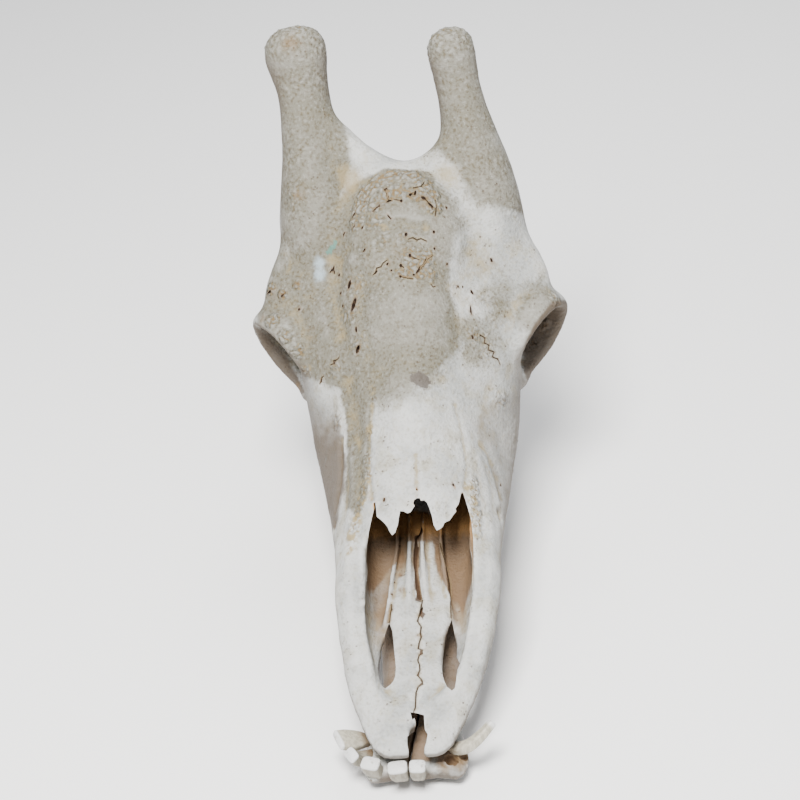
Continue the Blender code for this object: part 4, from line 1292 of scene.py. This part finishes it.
JAW_ROUGH = [(17, 2, -10, 12, 1.1, 4), (32, 10, -8, 14, 1.0, 4), (-30, 8, -12, 12, 0.5, 4)]
JAW_OCHRE = [(27, 8, -8, 13, 1.0), (38, 13, -7, 13, 1.0), (14, 2, -8, 9, 0.7)]


def jaw_form(flip):
    """One half of the lower jaw, grown from its body, plate, knob and heel."""
    def upright(y, z, across):
        """The plate leans out towards the joint and in towards the tooth row."""
        return flip * (56 + across + 0.075 * z - 0.04 * max(0, 420 - y)), y, z

    forms = [sweep("body", JAW_BODY, flip=flip),
             prism("ramus", RAMUS, -RAMUS_HALF, RAMUS_HALF, upright),
             blob("joint_knob", (flip * 64, 490, 65), (19, 8, 7), (0, 0, flip * 8)),
             blob("heel", (flip * 50, 462, -84), (7, 26, 12)),
             sweep("front_edge", FRONT_EDGE, flip=flip)]
    if flip == 1:
        forms.append(sweep("chin_middle", CHIN_MIDDLE))
    jaw = fused(joined("jaw", forms), BONE_GRAIN, 6)
    seam = [(x + flip * JAW_GAP, y) for x, y in JAW_MIDDLE]
    middle = prism("middle", [(-flip * 200, -50)] + seam + [(-flip * 200, 600)], -300, 300)
    return fused(cut(jaw, [middle, socket_row(LOWER_TEETH, LOWER_CROWN, flip)]), JAW_GRAIN, 1)


def floor_cut(obj):
    """Worn flat where it touches the table."""
    shape = bmesh.new()
    shape.from_mesh(obj.data)
    whole = shape.verts[:] + shape.edges[:] + shape.faces[:]
    bmesh.ops.bisect_plane(shape, geom=whole, dist=1e-7, plane_co=(0, 0, 0), plane_no=(0, 0, -1),
                           clear_outer=True)
    bmesh.ops.holes_fill(shape, edges=[e for e in shape.edges if e.is_boundary], sides=0)
    bmesh.ops.triangulate(shape, faces=[f for f in shape.faces if len(f.verts) > 4])
    shape.to_mesh(obj.data)
    shape.free()
    return obj


for flip, side in ((1, "left"), (-1, "right")):
    jaw = grown(jaw_form(flip))
    jaw.name = f"jaw_bone_{side}"
    pits = [blob("pit", place, PIT_RADII) for place in EMPTY_SOCKETS if side == "left"]
    for name, (width_way, stations) in FRONT_TEETH.items():
        if name.endswith(side):
            wider = [(x, y, z, w + TOOTH_GAP, d + TOOTH_GAP) for x, y, z, w, d in stations]
            pits.append(sweep("socket", wider, side=width_way, count=10, step=8, square=0.7))
    cut(jaw, [grown(pit) for pit in pits])
    thinned(roughened(jaw, JAW_ROUGH), JAW_TRIANGLES)
    shade_and_dirt_kept(jaw, JAW_REACH)
    stained(jaw, "ochre", JAW_OCHRE)
    for name, outlines in JAW_TINTED.items():
        tinted(jaw, name, outlines, JAW_TINT_ROUNDS)
    kept_as(floor_cut(rested(jaw)), bone, "bone", f"mandible_{side}")


# The cheek teeth
# Premolars and molars stand close together in both jaws, with two rounded lobes on
# each side, a rough enamel coat, and brown stain in their creases.

TOOTH_POINTS = 64
CHEEK_STAIN = 0.35
ENAMEL_CREAM = (0.46, 0.43, 0.345)
ENAMEL_GREY = (0.165, 0.145, 0.112)
WORN_TOOTH = (0.62, 0.62, 0.61)
NECK_BROWN = (0.17, 0.105, 0.05)

enamel = Finish("enamel")
place = enamel.node("ShaderNodeTexCoord", output="Object")
upright = enamel.drawn_out(place, (1, 1, 0.16))
stripe = enamel.mottle(upright, 2.6, 4)
patch = enamel.mottle(place, 4.5, 4)
speck = enamel.mottle(place, 1.2, 3)
worn = enamel.between(0.90, 0.97, enamel.measured("crown"))
neck = enamel.between(0.0, 0.35, 0.5 - enamel.measured("crown") + (patch - 0.5) * 0.3)
stain = enamel.measured("stain")
colour = enamel.blend(enamel.between(0.40, 0.62, stripe) * (0.35 + stain * 0.4),
                      ENAMEL_CREAM, ENAMEL_GREY)
colour = enamel.blend(stain * 0.7, colour, ENAMEL_GREY)
colour = enamel.blend(enamel.between(0.58, 0.72, patch) * 0.22, colour, NECK_BROWN)
colour = enamel.blend(enamel.between(0.62, 0.74, speck) * 0.3, colour, NECK_BROWN)
colour = enamel.blend(neck * 0.8, colour, NECK_BROWN)
colour = enamel.blend(worn * (1 - enamel.between(0.58, 0.70, patch) * 0.5), colour, WORN_TOOTH)
enamel.put(enamel.shader.inputs["Base Color"], colour)
enamel.put(enamel.shader.inputs["Roughness"], 0.38 + stripe * 0.25)
enamel.raised(stripe * 0.9 + speck * 0.4, 0.8)


def tooth_ring(first, last, middle, wide, z, swell, rib):
    """Two rounded lobes side by side, seen from the biting face, with ribs down their sides."""
    length, centre = (last - first) / 2, (first + last) / 2
    ring = []
    for k in range(TOOTH_POINTS):
        turn = 2 * math.pi * k / TOOTH_POINTS
        along, out = math.cos(turn), math.sin(turn)
        waist = 1 - 0.14 * math.cos(math.pi * along) ** 8 * (abs(along) < 0.5)
        ribbed = 1 - rib * (0.5 + 0.5 * math.cos(4 * math.pi * along)) * abs(out)
        ring.append((middle + wide / 2 * swell * waist * ribbed * rounded(out, 0.6),
                     centre + length * rounded(along, 0.6), z))
    return ring


def crowned(obj, points, stain):
    """Keeps how far each ring of a tooth lies from its root, from 0 to 1, and its stain."""
    count = len(obj.data.vertices)
    kept(obj, "crown", numpy.arange(count) // points / (count // points - 1))
    kept(obj, "stain", numpy.full(count, stain))
    return obj


def cheek_tooth(name, tooth, crown, flip):
    """A molar or premolar: root, neck and worn crown."""
    _, first, last, middle, wide = tooth
    bite, neck = crown
    away = math.copysign(1, neck - bite)
    levels = [
        (neck + ROOT * away, 0.84, 0), (neck + 2 * away, 0.95, 0.02), (neck - 1 * away, 0.99, 0.05),
        (neck - 3 * away, 1.0, 0.08), (bite + 5 * away, 0.97, 0.09), (bite + 3 * away, 0.94, 0.08),
        (bite + 1.0 * away, 0.89, 0.07), (bite + 0.3 * away, 0.86, 0.06), (bite, 0.82, 0.05),
        (bite, 0.74, 0.04), (bite + 0.5 * away, 0.62, 0.02), (bite + 0.7 * away, 0.40, 0)]
    rings = [tooth_ring(first, last, flip * middle, wide, *level) for level in levels]
    return crowned(bridged(name, rings), TOOTH_POINTS, CHEEK_STAIN)


TOOTH_ROWS = (("upper", UPPER_TEETH, UPPER_CROWN), ("lower", LOWER_TEETH, LOWER_CROWN))
for flip, side in ((1, "left"), (-1, "right")):
    for row, teeth, crown in TOOTH_ROWS:
        for tooth in teeth:
            node = f"{row}_{tooth[0]}_{side}"
            obj = grown(cheek_tooth(f"{row}_tooth_{tooth[0]}_{side}", tooth, crown, flip))
            kept_as(rested(obj), enamel, "enamel", node)


# The front teeth
# Three incisors and a broad lobed canine are left on the right side, and the first
# incisor and the canine on the left. Their worn edges are flat and white.

FRONT_POINTS = 40
INCISOR_STAIN = 0.9
CANINE_STAIN = 0.08


def worn_edge(stations):
    """Two more stations past the last, so that the worn edge is slightly rounded."""
    a, b = stations[-2], stations[-1]
    ahead = (Vector(b[:3]) - Vector(a[:3])).normalized()
    return stations + [(*(Vector(b[:3]) + ahead * far), b[3] - less, b[4] - less)
                       for far, less in ((0.5, 0.25), (0.8, 0.9))]


for name, (width_way, stations) in FRONT_TEETH.items():
    obj = sweep(f"front_{name}", worn_edge(stations), side=width_way, count=FRONT_POINTS, step=0.7,
                square=0.5)
    stain = CANINE_STAIN if name.startswith("canine") else INCISOR_STAIN
    kept_as(rested(grown(crowned(obj, FRONT_POINTS, stain))), enamel, "enamel", name)


# The table and the light
# The skull lies on a plain white table that runs on into the background. Two soft, wide
# studio lamps light it, the strong one above and in front.

TABLE_SIZE = 12                    # metres from the middle to an edge
TABLE_SINK = 0.0002

shape = bmesh.new()
bmesh.ops.create_grid(shape, x_segments=1, y_segments=1, size=TABLE_SIZE)
table = placed("table", shape)
table.location.z = -TABLE_SINK
white = Finish("table_white")
white.shader.inputs["Base Color"].default_value = (0.95, 0.95, 0.95, 1)
white.shader.inputs["Roughness"].default_value = 0.9
table.data.materials.append(white.material)
table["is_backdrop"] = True

world = bpy.data.worlds.new("studio")
world.use_nodes = True
world.node_tree.nodes["Background"].inputs["Color"].default_value = (0.95, 0.97, 1.0, 1)
world.node_tree.nodes["Background"].inputs["Strength"].default_value = 0.5
bpy.context.scene.world = world

LAMPS = [
    ("softbox_front", (-0.15, -1.05, 1.85), 0.75, 120, (1.0, 0.985, 0.955)),
    ("softbox_back", (0.3, 1.2, 1.9), 1.2, 26, (0.98, 0.99, 1.0)),
]
for name, spot, size, power, tint in LAMPS:
    lamp = bpy.data.lights.new(name, "AREA")
    lamp.size = size
    lamp.energy = power
    lamp.color = tint
    obj = bpy.data.objects.new(name, lamp)
    obj.location = spot
    obj.rotation_euler = (Vector((0, 0, 0.15)) - Vector(spot)).to_track_quat("-Z", "Y").to_euler()
    bpy.context.scene.collection.objects.link(obj)


# The sizes of what the scene shows
low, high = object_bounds()
